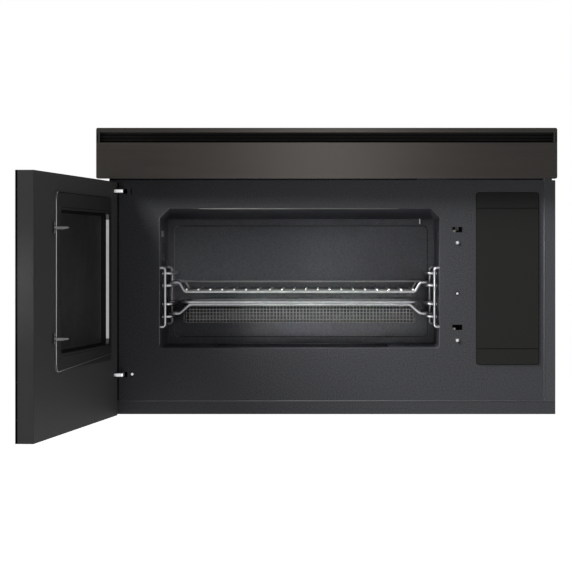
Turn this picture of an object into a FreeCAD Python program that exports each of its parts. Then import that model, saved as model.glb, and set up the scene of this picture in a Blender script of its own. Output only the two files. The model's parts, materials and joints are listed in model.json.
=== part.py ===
import FreeCAD, Part
import math
import os

Vector = FreeCAD.Vector
X_AXIS = Vector(1, 0, 0)
Y_AXIS = Vector(0, 1, 0)
Z_AXIS = Vector(0, 0, 1)

# Spaces that add up to the case: millimetres, X to the right, Y to the wall, Z up
sheet = 0.8
left_space = 82.9
cavity_width = 464.3
right_space = 172.8
cavity_depth = 268.0
rear_space = 82.0
bead_height = 3.0
base_height = 22.1
under_space = 86.9
cavity_height = 231.2
head_space = 47.8
fascia_gap = 1.3
fascia_height = 83.5

# Front trim and the vent fascia
trim_overhang = 18.5
trim_return = 22.0
trim_tab_width = 13.0
fascia_overhang = 19.4
fascia_depth = 29.5
fascia_wall = 1.5
fascia_radius = 3.0
fascia_flange = 8.0
lip_height = 7.6
vent_height = 16.6
vent_end = 6.0
grille_setback = 11.0
louvre_blades = 3
louvre_depth = 10.0
louvre_ribs = 6
grille_bar = 5.0

# Base pan
base_flange = 27.0
bead_width = 14.0
bead_inset = 34.0
bead_setback = 60.0
filter_width = 250.0
filter_length = 190.0
filter_lap = 8.0
filter_thickness = 6.0
filter_frame = 7.0
filter_middle = 150.0
hood_lamp_width = 60.0
hood_lamp_length = 28.0
hood_lamp_inset = 45.0
hood_lamp_thickness = 2.5

# Cavity
liner_wall = 1.0
ceiling_drop = 14.7
chamfer_width = 16.0
chamfer_height = 15.0
back_chamfer_height = 2.0
corner_radius = 5.0
emboss_inset = 11.5
emboss_depth = 4.0
emboss_radius = 8.0

# Latch, its board and the screws beside it
latch_offset = 29.0
latch_inset = 34.7
latch_slot_width = 16.6
latch_slot_height = 8.8
latch_board_width = 27.0
latch_board_depth = 32.0
latch_board_end = 24.0
latch_pocket_wall = 4.0
latch_screw_drop = 21.5
middle_screw_drop = 24.9
screw_head_radius = 3.4
screw_head_height = 1.5
screw_shank_radius = 1.8
screw_length = 12.0
small_head_radius = 2.0
small_hole_radius = 3.8
switch_width = 10.0
switch_depth = 18.0
switch_height = 20.0
lever_width = 6.0
lever_thickness = 1.5
lever_length = 13.0
lever_pin_radius = 1.5
lever_room = 14.0

# Control-bay cover
cover_offset = 60.8
cover_margin = 9.4
cover_reach = 26.0
cover_proud = 1.6
cover_radius = 4.0
cover_rim = 12.0
cover_rim_depth = 8.0
cover_rim_wall = 2.0
groove_inset = 25.3
groove_width = 1.0
groove_depth = 0.8

# Hinges
hinge_below_top = 19.1
hinge_above_base = 43.5
arm_height = 7.0
arm_width = 7.0
arm_bend = 3.0
arm_room = 1.0
eye_radius = 7.0
pin_radius = 3.0
neck_offset = 23.1
hinge_foot_width = 22.0
hinge_foot_height = 30.0
hinge_foot_thickness = 3.0
hinge_slot_right = 32.0
cam_slot_offset = 38.4
cam_slot_width = 2.2
clevis_cheek = 7.0
clevis_back = 1.4

# Door, drawn closed and then swung open
door_gap = 3.0
door_thickness = 26.0
door_side_gap = 0.5
door_free_gap = 8.5
door_top_gap = 4.2
door_foot = 2.0
door_swing_degrees = 95.1
door_edge_radius = 10.0
pivot_inset = 15.9
pivot_depth = 10.0
frame_margin = 16.0
frame_proud = 2.5
frame_radius = 11.0
frame_border = 25.0
frame_border_hinge = 13.0
frame_border_free = 38.0
recess_depth = 7.6
recess_radius = 9.0
recess_wall = 2.0
inner_glass_thickness = 3.0
inner_glass_lap = 6.0
screen_thickness = 0.8
choke_width = 16.0
door_glass_thickness = 4.0
door_glass_lap = 20.0
window_lap = 4.0
touch_margin = 30.0
touch_gap = 30.0
touch_thickness = 3.0

# Latch slide in the door
slide_width = 8.0
slide_thickness = 5.0
slide_end = 15.0
hook_reach = 22.5
hook_width = 5.0
hook_height = 2.2
hook_drop = 1.2
barb_height = 1.7
barb_gap = 1.0
slide_down = 1.5
slide_up = 2.5
bezel_width = 12.0
bezel_height = 15.4
bezel_proud = 2.3
spring_radius = 2.6
spring_wire = 0.5
spring_turns = 6
spring_pitch = 2.6

# Wire racks and their supports
wire_radius = 2.4
wire_bend = 6.0
rib_radius = 1.5
rib_count = 20
rib_end = 3.95
weld_depth = 0.4
support_front = 18.0
support_rear = 249.0
support_bottom = 34.9
support_top = 133.1
support_standoff = 8.1
rail_reach = 11.0
rail_levels = (51.9, 72.9, 103.7, 124.1)
rack_front = 26.0
rack_rear = 241.0
rack_shoulder = 12.0
rack_slope = 9.0
rack_drop = 15.5
guard_inset = 7.0
basket_shoulder = 13.0
basket_slope = 17.0
basket_rise = 15.1
rim_inset = 16.0
rim_rise = 4.0
rim_bend = 14.0
tray_depth = 35.0
tray_wall = 1.6
tray_wire = 2.2
tray_radius = 12.6
floor_gap_counts = (14, 7)
long_wall_gap_counts = (22, 2)
short_wall_gap_counts = (10, 2)

# Antenna under the glass floor, waveguide and magnetron
floor_plate_width = 300.0
floor_plate_depth = 190.0
floor_plate_thickness = 4.0
well_depth = 24.0
well_ledge = 8.0
well_flange = 10.0
guide_height = 36.0
guide_width = 80.0
guide_end = 45.0
coupling_radius = 20.0
antenna_radius = 68.0
antenna_thickness = 1.5
antenna_lift = 8.0
antenna_slots = 3
antenna_slot_shares = (0.35, 0.85)
antenna_slot_width = 13.6
stirrer_shaft_radius = 4.0
stirrer_motor_radius = 24.0
stirrer_motor_height = 16.0
motor_bore_depth = 12.0
magnetron_width = 84.0
magnetron_depth = 72.0
magnetron_height = 66.0
magnetron_cap = 30.0
magnetron_cap_share = 0.7
magnetron_fins = 6
magnetron_core_radius = 21.0
magnetron_probe_radius = 8.0
magnetron_probe_length = 18.0

# Cooling fan behind the magnetron
fan_radius = 55.0
fan_room = 3.0
fan_blades = 5
fan_hub_radius = 16.0
blade_root_degrees = 40.0
blade_tip_degrees = 24.0
blade_shares = (0.9, 0.97)
tip_chord_share = 0.7
fan_depth = 22.0
fan_setback = 75.0
fan_height_above_guide = 75.0
shroud_border = 12.0
fan_motor_radius = 24.0
fan_motor_length = 34.0
fan_post_radius = 3.0
fan_bar_height = 16.0

# Inverter board on the right wall
board_standoff = 7.0
standoff_radius = 3.0
board_thickness = 1.6
board_length = 180.0
board_height = 130.0
board_front = 25.0
board_drop = 20.0
transformer_size = 44.0
transformer_radius = 5.5
heat_sink_grooves = 5
capacitor_radius = 14.0

# Convection unit on the left wall
convection_radius = 98.0
convection_depth = 38.0
convection_flange = 6.0
convection_forward = 140.0
convection_fan_radius = 68.0
convection_blades = 12
convection_blade_height = 14.0
convection_blade_shares = (0.4, 0.98)
heater_radius = 84.0
heater_tube = 3.6
heater_leg_spread = 24.0
convection_motor_radius = 28.0
convection_motor_length = 26.0
grille_size = 120.0
grille_lap = 6.0
grille_slot_counts = (3, 9)
grille_slot_share = 0.55

# Cavity lamp and probe
lamp_forward = 70.0
lamp_below_top = 46.0
lamp_width = 40.0
lamp_height = 20.0
lamp_depth = 24.0
lamp_lap = 4.0
lamp_glass = 2.0
probe_from_right = 25.2
probe_from_back = 13.0
probe_radius = 1.1
probe_hang = 9.0
probe_head_radius = 4.0
probe_head_height = 6.0

# Hood blower above the cavity
blower_radius = 40.0
blower_wall = 1.5
blower_width = 96.0
blower_from_wall = 70.0
blower_outlet = 78.0
blower_eccentric = 4.0
wheel_radius = 31.0
wheel_blade = 6.0
wheel_blades = 18
wheel_end_gap = 4.0
inlet_radius = 25.0
blower_shaft_radius = 4.0
blower_motor_radius = 32.0
blower_motor_length = 74.0
blower_motor_gap = 10.0
carbon_width = 300.0
carbon_height = 60.0
carbon_thickness = 14.0
carbon_setback = 14.0
carbon_cell_counts = (10, 3)
duct_inlet_width = 60.0
duct_inlet_length = 150.0

# Fixings on the top and back
bolt_radius = 3.3
bolt_spacing = 508.0
bolt_setback = 95.0
bolt_plate_size = 36.0
bolt_plate_thickness = 4.0
duct_width = 254.0
duct_depth = 82.5
duct_from_wall = 14.0
cord_hole_radius = 12.0
cord_bore_radius = 5.5
cord_flange_radius = 17.0
cord_flange_thickness = 3.0
cord_from_right = 60.0
cord_from_wall = 50.0
hook_slot_width = 60.0
hook_slot_height = 14.0
hook_slot_spacing = 420.0
hook_slot_rise = 30.0

# Clearances: running fit, sliding fit and a loose seat
running = 0.06
seat_room = 0.3
plate_room = 0.4

# Places worked out from the sizes above
case_width = left_space + cavity_width + right_space
case_depth = cavity_depth + rear_space
case_left = -case_width / 2
case_right = case_width / 2
inside_left = case_left + sheet
inside_right = case_right - sheet
cavity_left = case_left + left_space
cavity_right = cavity_left + cavity_width
cavity_middle = (cavity_left + cavity_right) / 2
plate_y = -case_depth
plate_back = plate_y + sheet
cavity_back_y = plate_y + cavity_depth
cavity_mid_y = plate_y + cavity_depth / 2
base_top = bead_height + base_height
cavity_floor = base_top + under_space
cavity_top = cavity_floor + cavity_height
plate_top = cavity_top + head_space
fascia_bottom = plate_top + fascia_gap
case_top = fascia_bottom + fascia_height
ceiling = case_top - sheet
trim_half = case_width / 2 + trim_overhang
fascia_half = case_width / 2 + fascia_overhang
fascia_front = plate_y - fascia_depth
vent_top = case_top - lip_height
vent_bottom = vent_top - vent_height

latch_x = cavity_right + latch_offset
latch_levels = (cavity_floor + latch_inset, cavity_top - latch_inset)
cover_x = (cavity_right + cover_offset, case_right - cover_margin)
cover_z = (cavity_floor - cover_reach, cavity_top + cover_reach)

door_left = door_side_gap - trim_half
door_right = trim_half - door_free_gap
door_outer = plate_y - door_gap - door_thickness
door_inner = plate_y - door_gap
door_top = plate_top - door_top_gap
pivot_x = door_left + pivot_inset
pivot_y = door_outer + pivot_depth
hinge_levels = (base_top + hinge_above_base, plate_top - hinge_below_top)
neck_x = pivot_x + neck_offset

well_floor = cavity_floor - floor_plate_thickness - well_depth
guide_top = well_floor - sheet
guide_bottom = guide_top - guide_height
right_middle = (cavity_right + liner_wall + inside_right) / 2
fan_y = cavity_mid_y + fan_setback
fan_z = guide_top + fan_height_above_guide
blower_y = -blower_from_wall
blower_z = plate_top + blower_radius
convection_y = plate_y + convection_forward
convection_z = cavity_floor + cavity_height / 2
liner_left = cavity_left - liner_wall
housing_left = liner_left - convection_depth

support_y = (plate_y + support_front, plate_y + support_rear)
rack_y = (plate_y + rack_front, plate_y + rack_rear)
rail_left = cavity_left + support_standoff + rail_reach
rail_right = cavity_right - support_standoff - rail_reach


def block(x, y, z):
    """A box from its (low, high) pairs along X, Y and Z."""
    return Part.makeBox(x[1] - x[0], y[1] - y[0], z[1] - z[0], Vector(x[0], y[0], z[0]))


def about(middle, size):
    """The (low, high) pair of a size centred on a place."""
    return middle - size / 2, middle + size / 2


def grown(pair, margin):
    """A (low, high) pair with a margin added at both ends."""
    return pair[0] - margin, pair[1] + margin


def rounded(solid, radius, axis):
    """The box with its edges along one axis rounded."""
    edges = [e for e in solid.Edges if abs(e.tangentAt(e.FirstParameter).dot(axis)) > 0.99]
    return solid.makeFillet(radius, edges)


def rod(start, end, radius):
    """A round bar between two points."""
    return Part.makeCylinder(radius, (end - start).Length, start, end - start)


def prism(points, sweep):
    """A flat outline of straight sides, swept along a vector."""
    return Part.Face(Part.makePolygon(points + points[:1])).extrude(sweep)


def bent_rod(points, bend, radius):
    """A round wire along straight runs joined by tangent arcs."""
    edges = []
    start = points[0]
    for before, corner, after in zip(points, points[1:], points[2:]):
        into = (corner - before).normalize()
        out = (after - corner).normalize()
        turn = into.getAngle(out)
        reach = bend * math.tan(turn / 2)
        crown = bend / math.cos(turn / 2) - bend
        first = corner - into * reach
        last = corner + out * reach
        middle = corner + (out - into).normalize() * crown
        edges.append(Part.LineSegment(start, first).toShape())
        edges.append(Part.Arc(first, middle, last).toShape())
        start = last
    edges.append(Part.LineSegment(start, points[-1]).toShape())
    section = Part.Wire(Part.makeCircle(radius, points[0], points[1] - points[0]))
    return Part.Wire(edges).makePipeShell([section], True, False)


def joined(solids):
    """One solid from pieces that are welded or moulded together."""
    return solids[0].multiFuse(solids[1:]).removeSplitter()


def turned(solid, x, y, axis, angle, z=0.0):
    """A copy turned about an axis through a point."""
    copy = solid.copy()
    copy.rotate(Vector(x, y, z), axis, angle)
    return copy


def opened(solid):
    """A piece of the closed door, swung open on the hinge pins."""
    return turned(solid, pivot_x, pivot_y, Z_AXIS, -door_swing_degrees)


def cells(count, pair, bar):
    """The (low, high) pairs of equal openings with a bar between and beside them."""
    pitch = (pair[1] - pair[0] - bar) / count
    return [(pair[0] + bar + i * pitch, pair[0] + (i + 1) * pitch) for i in range(count)]


def cavity_section(y, top, chamfer, margin):
    """The cavity's outline at one depth, a margin outside its inner faces."""
    left = cavity_left - margin
    right = cavity_right + margin
    floor = cavity_floor - margin
    roof = top + margin
    side = chamfer * chamfer_width / chamfer_height
    bend = corner_radius + margin
    slant = bend * (1 - math.sqrt(0.5))
    corners = [
        (right - bend, floor), (right, floor + bend), (right, roof - chamfer), (right - side, roof),
        (left + side, roof), (left, roof - chamfer), (left, floor + bend), (left + bend, floor),
    ]
    points = [Vector(x, y, z) for x, z in corners]
    edges = [Part.LineSegment(a, b).toShape() for a, b in zip(points[1:6], points[2:7])]
    edges.append(Part.Arc(points[6], Vector(left + slant, y, floor + slant), points[7]).toShape())
    edges.append(Part.LineSegment(points[7], points[0]).toShape())
    edges.append(Part.Arc(points[0], Vector(right - slant, y, floor + slant), points[1]).toShape())
    return Part.Wire(edges)


def cavity_back_section(y, margin):
    """The lower outline at the back, where the ceiling has come down."""
    return cavity_section(y, cavity_top - ceiling_drop, back_chamfer_height, margin)


# Case and front

def make_front_plate():
    plate = block((case_left, case_right), (plate_y, plate_back), (base_top, plate_top))
    mouth = Part.Face(cavity_section(plate_y, cavity_top, chamfer_height, 0)).extrude(Y_AXIS * sheet)
    through = (plate_y, plate_back)
    bay = block(grown(cover_x, -cover_rim), through, grown(cover_z, -cover_rim))
    cuts = [mouth, bay]
    for z in latch_levels:
        cuts.append(block(about(latch_x, latch_slot_width), through, about(z, latch_slot_height)))
        cuts.append(rod(*screw_line(z - latch_screw_drop, sheet), screw_shank_radius + running))
    cuts.append(rod(*screw_line(middle_screw_z(), sheet), small_hole_radius))
    neck_slot_x = (neck_x - arm_width / 2 - arm_room, pivot_x + hinge_slot_right)
    for x in (neck_slot_x, about(pivot_x + cam_slot_offset, cam_slot_width)):
        cuts += [block(x, through, about(z, arm_height + 2 * arm_room)) for z in hinge_levels]
    return plate.cut(cuts)


def middle_screw_z():
    return sum(latch_levels) / 2 - middle_screw_drop


def screw_line(z, length):
    """From the front plate's face into the case, at the latch board's screws."""
    return Vector(latch_x, plate_y, z), Vector(latch_x, plate_y + length, z)


def make_case_wrap():
    long = (plate_back, -sheet)
    shell = block((case_left, case_right), long, (base_top, case_top))
    hollow = block((inside_left, inside_right), long, (base_top, ceiling))
    top = (ceiling, case_top)
    cuts = [hollow, block(about(0, duct_width), duct_y(), top)]
    for x, y in bolt_places():
        cuts.append(rod(Vector(x, y, ceiling), Vector(x, y, case_top), bolt_radius))
    x, y = cord_place()
    cuts.append(rod(Vector(x, y, ceiling), Vector(x, y, case_top), cord_hole_radius + running))
    return shell.cut(cuts)


def duct_y():
    return -duct_from_wall - duct_depth, -duct_from_wall


def bolt_places():
    return [(side * bolt_spacing / 2, plate_y + bolt_setback) for side in (-1, 1)]


def cord_place():
    return case_right - cord_from_right, -cord_from_wall


def make_bolt_plates():
    plates = []
    for x, y in bolt_places():
        plate = block(about(x, bolt_plate_size), about(y, bolt_plate_size),
                      (ceiling - bolt_plate_thickness, ceiling))
        foot = Vector(x, y, ceiling - bolt_plate_thickness)
        plates.append(plate.cut(rod(foot, Vector(x, y, ceiling), bolt_radius)))
    return Part.makeCompound(plates)


def make_cord_bushing():
    x, y = cord_place()
    low = ceiling - cord_flange_thickness
    flange = rod(Vector(x, y, low), Vector(x, y, ceiling), cord_flange_radius)
    collar = rod(Vector(x, y, low), Vector(x, y, case_top), cord_hole_radius)
    bore = rod(Vector(x, y, low), Vector(x, y, case_top), cord_bore_radius)
    return joined([flange, collar]).cut(bore)


def make_back_plate():
    plate = block((case_left, case_right), (-sheet, 0), (base_top, case_top))
    slots = []
    for side in (-1, 1):
        slot = block(about(side * hook_slot_spacing / 2, hook_slot_width), (-sheet, 0),
                     about(base_top + hook_slot_rise, hook_slot_height))
        slots.append(rounded(slot, hook_slot_height / 4, Y_AXIS))
    return plate.cut(slots)


def filter_places():
    """The X and Y pairs of the two grease-filter openings."""
    y = about(plate_y / 2, filter_length)
    return [(about(side * filter_middle, filter_width), y) for side in (-1, 1)]


def hood_lamp_places():
    """The X and Y pairs of the two lamp openings near the front of the base."""
    y = about(plate_y + hood_lamp_inset, hood_lamp_length)
    return [(about(side * filter_middle, hood_lamp_width), y) for side in (-1, 1)]


def make_base_plate():
    wide = (-trim_half, trim_half)
    deep = (plate_y, 0)
    pan = block(wide, deep, (bead_height, base_top))
    hollow = block(grown(wide, -sheet), grown(deep, -sheet), (bead_height + sheet, base_top - sheet))
    hatch = block(grown(wide, -base_flange), grown(deep, -base_flange), (base_top - sheet, base_top))
    cuts = [hollow, hatch]
    for x, y in filter_places() + hood_lamp_places():
        cuts.append(block(x, y, (bead_height, bead_height + sheet)))
    bead_x = trim_half - bead_inset
    beads = [block((-bead_x, bead_x), (-bead_width, 0), (0, bead_height))]
    for side in (-1, 1):
        beads.append(block(about(side * bead_x, bead_width), (plate_y + bead_setback, 0), (0, bead_height)))
    return joined([pan.cut(cuts)] + beads)


def make_grease_filter(place):
    low = bead_height + sheet
    x = grown(place[0], filter_lap)
    y = grown(place[1], filter_lap)
    slab = block(x, y, (low, low + filter_thickness))
    pan = block(grown(x, -filter_frame), grown(y, -filter_frame),
                (low + filter_thickness / 2, low + filter_thickness))
    return slab.cut(pan)


def make_hood_lamp_lenses():
    lenses = []
    low = bead_height + sheet
    for x, y in hood_lamp_places():
        flange = block(grown(x, filter_lap), grown(y, filter_lap), (low, low + hood_lamp_thickness))
        window = block(grown(x, -plate_room), grown(y, -plate_room), (bead_height, low))
        lenses.append(joined([flange, window]))
    return Part.makeCompound(lenses)


def make_right_trim_strip():
    high = (base_top, plate_top - fascia_gap / 2)
    outer = case_right + trim_overhang
    face = block((case_right, outer), (plate_y, plate_back), high)
    inner_return = block((case_right, case_right + sheet), (plate_back, plate_y + trim_return), high)
    outer_return = block((outer - sheet, outer), (plate_back, plate_y + trim_return), high)
    tab = block((case_right, case_right + trim_tab_width), (plate_y, plate_back), (high[1], fascia_bottom))
    return joined([face, inner_return, outer_return, tab])


def make_vent_fascia():
    wide = (-fascia_half, fascia_half)
    tall = (fascia_bottom, case_top)
    shell = rounded(block(wide, (fascia_front, plate_back), tall), fascia_radius, Y_AXIS)
    hollow = block(grown(wide, -fascia_wall), (fascia_front + fascia_wall, plate_y), grown(tall, -fascia_wall))
    doorway = block((case_left + fascia_flange, case_right - fascia_flange), (plate_y, plate_back),
                    (fascia_bottom + fascia_wall, ceiling))
    slot = block(grown(wide, -vent_end), (fascia_front, fascia_front + fascia_wall), (vent_bottom, vent_top))
    return shell.cut([hollow, doorway, slot])


def make_vent_grille():
    wide = grown((-fascia_half, fascia_half), -fascia_wall)
    near = fascia_front + grille_setback
    tall = (vent_bottom - lip_height, case_top - fascia_wall)
    panel = block(wide, (near, near + fascia_wall), tall)
    window_x = grown(wide, -grille_bar)
    window = block(window_x, (near, near + fascia_wall), (vent_bottom, vent_top))
    ledge = block(wide, (fascia_front + fascia_wall, near), (tall[0], tall[0] + fascia_wall))
    pitch = vent_height / louvre_blades
    rear = near + louvre_depth
    blades = []
    for i in range(louvre_blades):
        top = vent_bottom + (i + 1) * pitch
        outline = [(near, top), (near, top - fascia_wall), (rear, top - pitch - fascia_wall), (rear, top - pitch)]
        points = [Vector(wide[0], y, z) for y, z in outline]
        blades.append(prism(points, X_AXIS * (wide[1] - wide[0])))
    gaps = cells(louvre_ribs - 1, wide, grille_bar)
    ribs = [block((wide[0], gaps[0][0]), (near, rear), tall)]
    for left, right in gaps:
        ribs.append(block((right, right + grille_bar), (near + louvre_depth / 2, rear), tall))
    return joined([panel.cut(window), ledge] + blades + ribs)


def make_control_cover():
    face = rounded(block(cover_x, (plate_y - cover_proud, plate_y), cover_z), cover_radius, Y_AXIS)
    rim_x = grown(cover_x, -cover_rim - plate_room)
    rim_z = grown(cover_z, -cover_rim - plate_room)
    rim_y = (plate_y, plate_y + cover_rim_depth)
    rim = block(rim_x, rim_y, rim_z)
    hollow = block(grown(rim_x, -cover_rim_wall), rim_y, grown(rim_z, -cover_rim_wall))
    front = (plate_y - cover_proud, plate_y - cover_proud + groove_depth)
    grooves = [block(cover_x, front, about(z, groove_width)) for z in grown(cover_z, -groove_inset)]
    return joined([face.cut(grooves), rim.cut(hollow)])


# Latch board behind the front plate

def make_latch_board():
    high = (latch_levels[0] - latch_board_end, latch_levels[1] + latch_board_end)
    board = block(about(latch_x, latch_board_width), (plate_back, plate_y + latch_board_depth), high)
    pocket_x = about(latch_x, latch_slot_width)
    pocket_y = (plate_back, plate_y + latch_board_depth - latch_pocket_wall)
    cuts = []
    for z in latch_levels:
        low, top = about(z, latch_slot_height)
        cuts.append(block(pocket_x, pocket_y, (low - slide_down - seat_room, top + lever_room)))
        cuts.append(rod(*screw_line(z - latch_screw_drop, screw_length), screw_shank_radius + running))
    cuts.append(rod(*screw_line(middle_screw_z(), screw_length), screw_shank_radius + running))
    cuts.append(rod(*lever_pin_ends(running), lever_pin_radius + running))
    return board.cut(cuts)


def lever_pin_ends(room):
    """The interlock lever's pin, across the upper pocket."""
    y = lever_face() + lever_pin_radius
    z = latch_levels[1] + lever_length
    half = latch_board_width / 2 + room
    return Vector(latch_x - half, y, z), Vector(latch_x + half, y, z)


def lever_face():
    """The lever's front face, just behind the closed door's hook."""
    return plate_y + hook_reach - door_gap + seat_room


def make_interlock_lever():
    start, end = lever_pin_ends(0)
    face = lever_face()
    paddle = block(about(latch_x, lever_width), (face, face + lever_thickness),
                   (start.z - lever_length - lever_thickness, start.z))
    return joined([paddle, rod(start, end, lever_pin_radius)])


def make_interlock_switches():
    x = latch_x + latch_board_width / 2
    y = (plate_y + latch_board_depth - switch_depth, plate_y + latch_board_depth)
    levels = [latch_levels[0], sum(latch_levels) / 2, latch_levels[1] - switch_height / 2]
    return Part.makeCompound([block((x, x + switch_width), y, about(z, switch_height)) for z in levels])


def make_latch_screws():
    screws = []
    for z in latch_levels:
        start, end = screw_line(z - latch_screw_drop, screw_length - seat_room)
        head = rod(start - Y_AXIS * screw_head_height, start, screw_head_radius)
        screws.append(joined([head, rod(start, end, screw_shank_radius)]))
    start, end = screw_line(middle_screw_z(), screw_length - seat_room)
    shoulder = start + Y_AXIS * sheet
    head = rod(start, shoulder, small_head_radius)
    screws.append(joined([head, rod(shoulder, end, screw_shank_radius)]))
    return Part.makeCompound(screws)


# Hinge arms, fixed to the case

def make_hinge_arm(z):
    low = z - arm_height / 2
    high = (low, low + arm_height)
    lateral = block((pivot_x, neck_x + arm_width / 2), about(pivot_y, arm_width), high)
    neck = block(about(neck_x, arm_width), (pivot_y - arm_width / 2, plate_back), high)
    arm = joined([lateral, neck])
    arm = arm.makeFillet(arm_bend, [e for e in arm.Edges if is_elbow(e)])
    eye = rod(Vector(pivot_x, pivot_y, low), Vector(pivot_x, pivot_y, low + arm_height), eye_radius)
    foot_right = neck_x + arm_width / 2
    foot = block((foot_right - hinge_foot_width, foot_right), (plate_back, plate_back + hinge_foot_thickness),
                 about(z, hinge_foot_height))
    bore = rod(Vector(pivot_x, pivot_y, low), Vector(pivot_x, pivot_y, low + arm_height), pin_radius + running)
    return joined([arm, eye, foot]).cut(bore)


def is_elbow(edge):
    """The two upright edges where the arm turns towards the case."""
    upright = abs(edge.tangentAt(edge.FirstParameter).dot(Z_AXIS)) > 0.99
    at = edge.CenterOfMass
    outside = at.x > neck_x and at.y < pivot_y
    inside = abs(at.x - neck_x + arm_width / 2) < running and abs(at.y - pivot_y - arm_width / 2) < running
    return upright and (outside or inside)


# Cavity

def make_cavity_liner():
    def tube(margin):
        front = cavity_section(plate_back, cavity_top, chamfer_height, margin)
        return Part.makeLoft([front, cavity_back_section(cavity_back_y, margin)], True, True)
    grille_y = about(convection_y, grille_size)
    grille_z = about(convection_z, grille_size)
    lamp_y, lamp_z = lamp_window()
    cuts = [
        tube(0),
        block((liner_left, cavity_left), grille_y, grille_z),
        block((cavity_right, cavity_right + liner_wall), lamp_y, lamp_z),
        block(about(cavity_middle, floor_plate_width), about(cavity_mid_y, floor_plate_depth),
              (cavity_floor - liner_wall, cavity_floor)),
        rod(*probe_line(), probe_radius),
    ]
    return tube(liner_wall).cut(cuts)


def make_cavity_back():
    panel = Part.Face(cavity_back_section(cavity_back_y, liner_wall)).extrude(Y_AXIS * liner_wall)
    x = (cavity_left + emboss_inset, cavity_right - emboss_inset)
    z = (cavity_floor + emboss_inset, cavity_top - ceiling_drop - emboss_inset)
    depth = emboss_depth + liner_wall
    boss = rounded(block(grown(x, liner_wall), (cavity_back_y, cavity_back_y + depth), grown(z, liner_wall)),
                   emboss_radius + liner_wall, Y_AXIS)
    pocket = rounded(block(x, (cavity_back_y, cavity_back_y + emboss_depth), z), emboss_radius, Y_AXIS)
    return joined([panel, boss]).cut(pocket)


def lamp_window():
    """The Y and Z pairs of the lamp's opening in the right wall."""
    return about(plate_y + lamp_forward, lamp_width), about(cavity_top - lamp_below_top, lamp_height)


def make_lamp_lens():
    y, z = lamp_window()
    near = cavity_right + liner_wall
    return block((near, near + lamp_glass), grown(y, lamp_lap), grown(z, lamp_lap))


def make_cavity_lamp():
    y, z = lamp_window()
    near = cavity_right + liner_wall + lamp_glass
    box = block((near, near + lamp_depth), grown(y, lamp_lap), grown(z, lamp_lap))
    reflector = block((near, near + lamp_depth - sheet), y, z)
    bulb = rod(Vector(near + lamp_depth - sheet, sum(y) / 2, sum(z) / 2),
               Vector(near + lamp_depth / 2, sum(y) / 2, sum(z) / 2), lamp_height / 4)
    return joined([box.cut(reflector), bulb])


def probe_line():
    """The probe's upright line through the sloping ceiling."""
    x = cavity_right - probe_from_right
    y = cavity_back_y - probe_from_back
    roof = cavity_top - ceiling_drop * (1 - probe_from_back / cavity_depth)
    return Vector(x, y, roof - probe_hang), Vector(x, y, roof + liner_wall + probe_head_height)


def make_temperature_probe():
    tip, top = probe_line()
    seat = top - Z_AXIS * probe_head_height + Z_AXIS * plate_room
    return joined([rod(tip, top, probe_radius), rod(seat, top, probe_head_radius)])


# Antenna, waveguide and magnetron

def make_floor_plate():
    x = grown(about(cavity_middle, floor_plate_width), -plate_room)
    y = grown(about(cavity_mid_y, floor_plate_depth), -plate_room)
    return block(x, y, (cavity_floor - floor_plate_thickness, cavity_floor))


def make_antenna_well():
    x = about(cavity_middle, floor_plate_width)
    y = about(cavity_mid_y, floor_plate_depth)
    rim = cavity_floor - liner_wall
    seat_low = cavity_floor - floor_plate_thickness
    step = block(grown(x, sheet), grown(y, sheet), (seat_low - sheet, rim))
    cup = block(grown(x, sheet - well_ledge), grown(y, sheet - well_ledge), (guide_top, rim))
    flange = block(grown(x, well_flange), grown(y, well_flange), (rim - sheet, rim))
    seat = block(x, y, (seat_low, rim))
    hollow = block(grown(x, -well_ledge), grown(y, -well_ledge), (well_floor, rim))
    centre = Vector(cavity_middle, cavity_mid_y, guide_top)
    hole = rod(centre, centre + Z_AXIS * sheet, coupling_radius)
    return joined([cup, step, flange]).cut([seat, hollow, hole])


def make_waveguide():
    x = (cavity_middle - guide_end, right_middle + guide_end)
    y = about(cavity_mid_y, guide_width)
    z = (guide_bottom, guide_top)
    hollow = block(grown(x, -sheet), grown(y, -sheet), grown(z, -sheet))
    coupling = Vector(cavity_middle, cavity_mid_y, guide_top - sheet)
    feed = Vector(right_middle, cavity_mid_y, guide_top - sheet)
    bottom = Vector(cavity_middle, cavity_mid_y, guide_bottom)
    cuts = [
        hollow,
        rod(coupling, coupling + Z_AXIS * sheet, coupling_radius),
        rod(feed, feed + Z_AXIS * sheet, magnetron_probe_radius + seat_room),
        rod(bottom, bottom + Z_AXIS * sheet, stirrer_shaft_radius + running),
    ]
    return block(x, y, z).cut(cuts)


def make_stirrer():
    disc_low = Vector(cavity_middle, cavity_mid_y, well_floor + antenna_lift)
    disc = rod(disc_low, disc_low + Z_AXIS * antenna_thickness, antenna_radius)
    slots = []
    inner, outer = [cavity_middle + antenna_radius * share for share in antenna_slot_shares]
    for i in range(antenna_slots):
        slot = block((inner, outer), about(cavity_mid_y, antenna_slot_width),
                     (disc_low.z, disc_low.z + antenna_thickness))
        slots.append(turned(slot, cavity_middle, cavity_mid_y, Z_AXIS, i * 360 / antenna_slots))
    foot = Vector(cavity_middle, cavity_mid_y, guide_bottom - motor_bore_depth + seat_room)
    shaft = rod(foot, disc_low, stirrer_shaft_radius)
    return joined([disc.cut(slots), shaft])


def make_stirrer_motor():
    top = Vector(cavity_middle, cavity_mid_y, guide_bottom)
    body = rod(top - Z_AXIS * stirrer_motor_height, top, stirrer_motor_radius)
    bore = rod(top - Z_AXIS * motor_bore_depth, top, stirrer_shaft_radius + running)
    return body.cut(bore)


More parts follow.
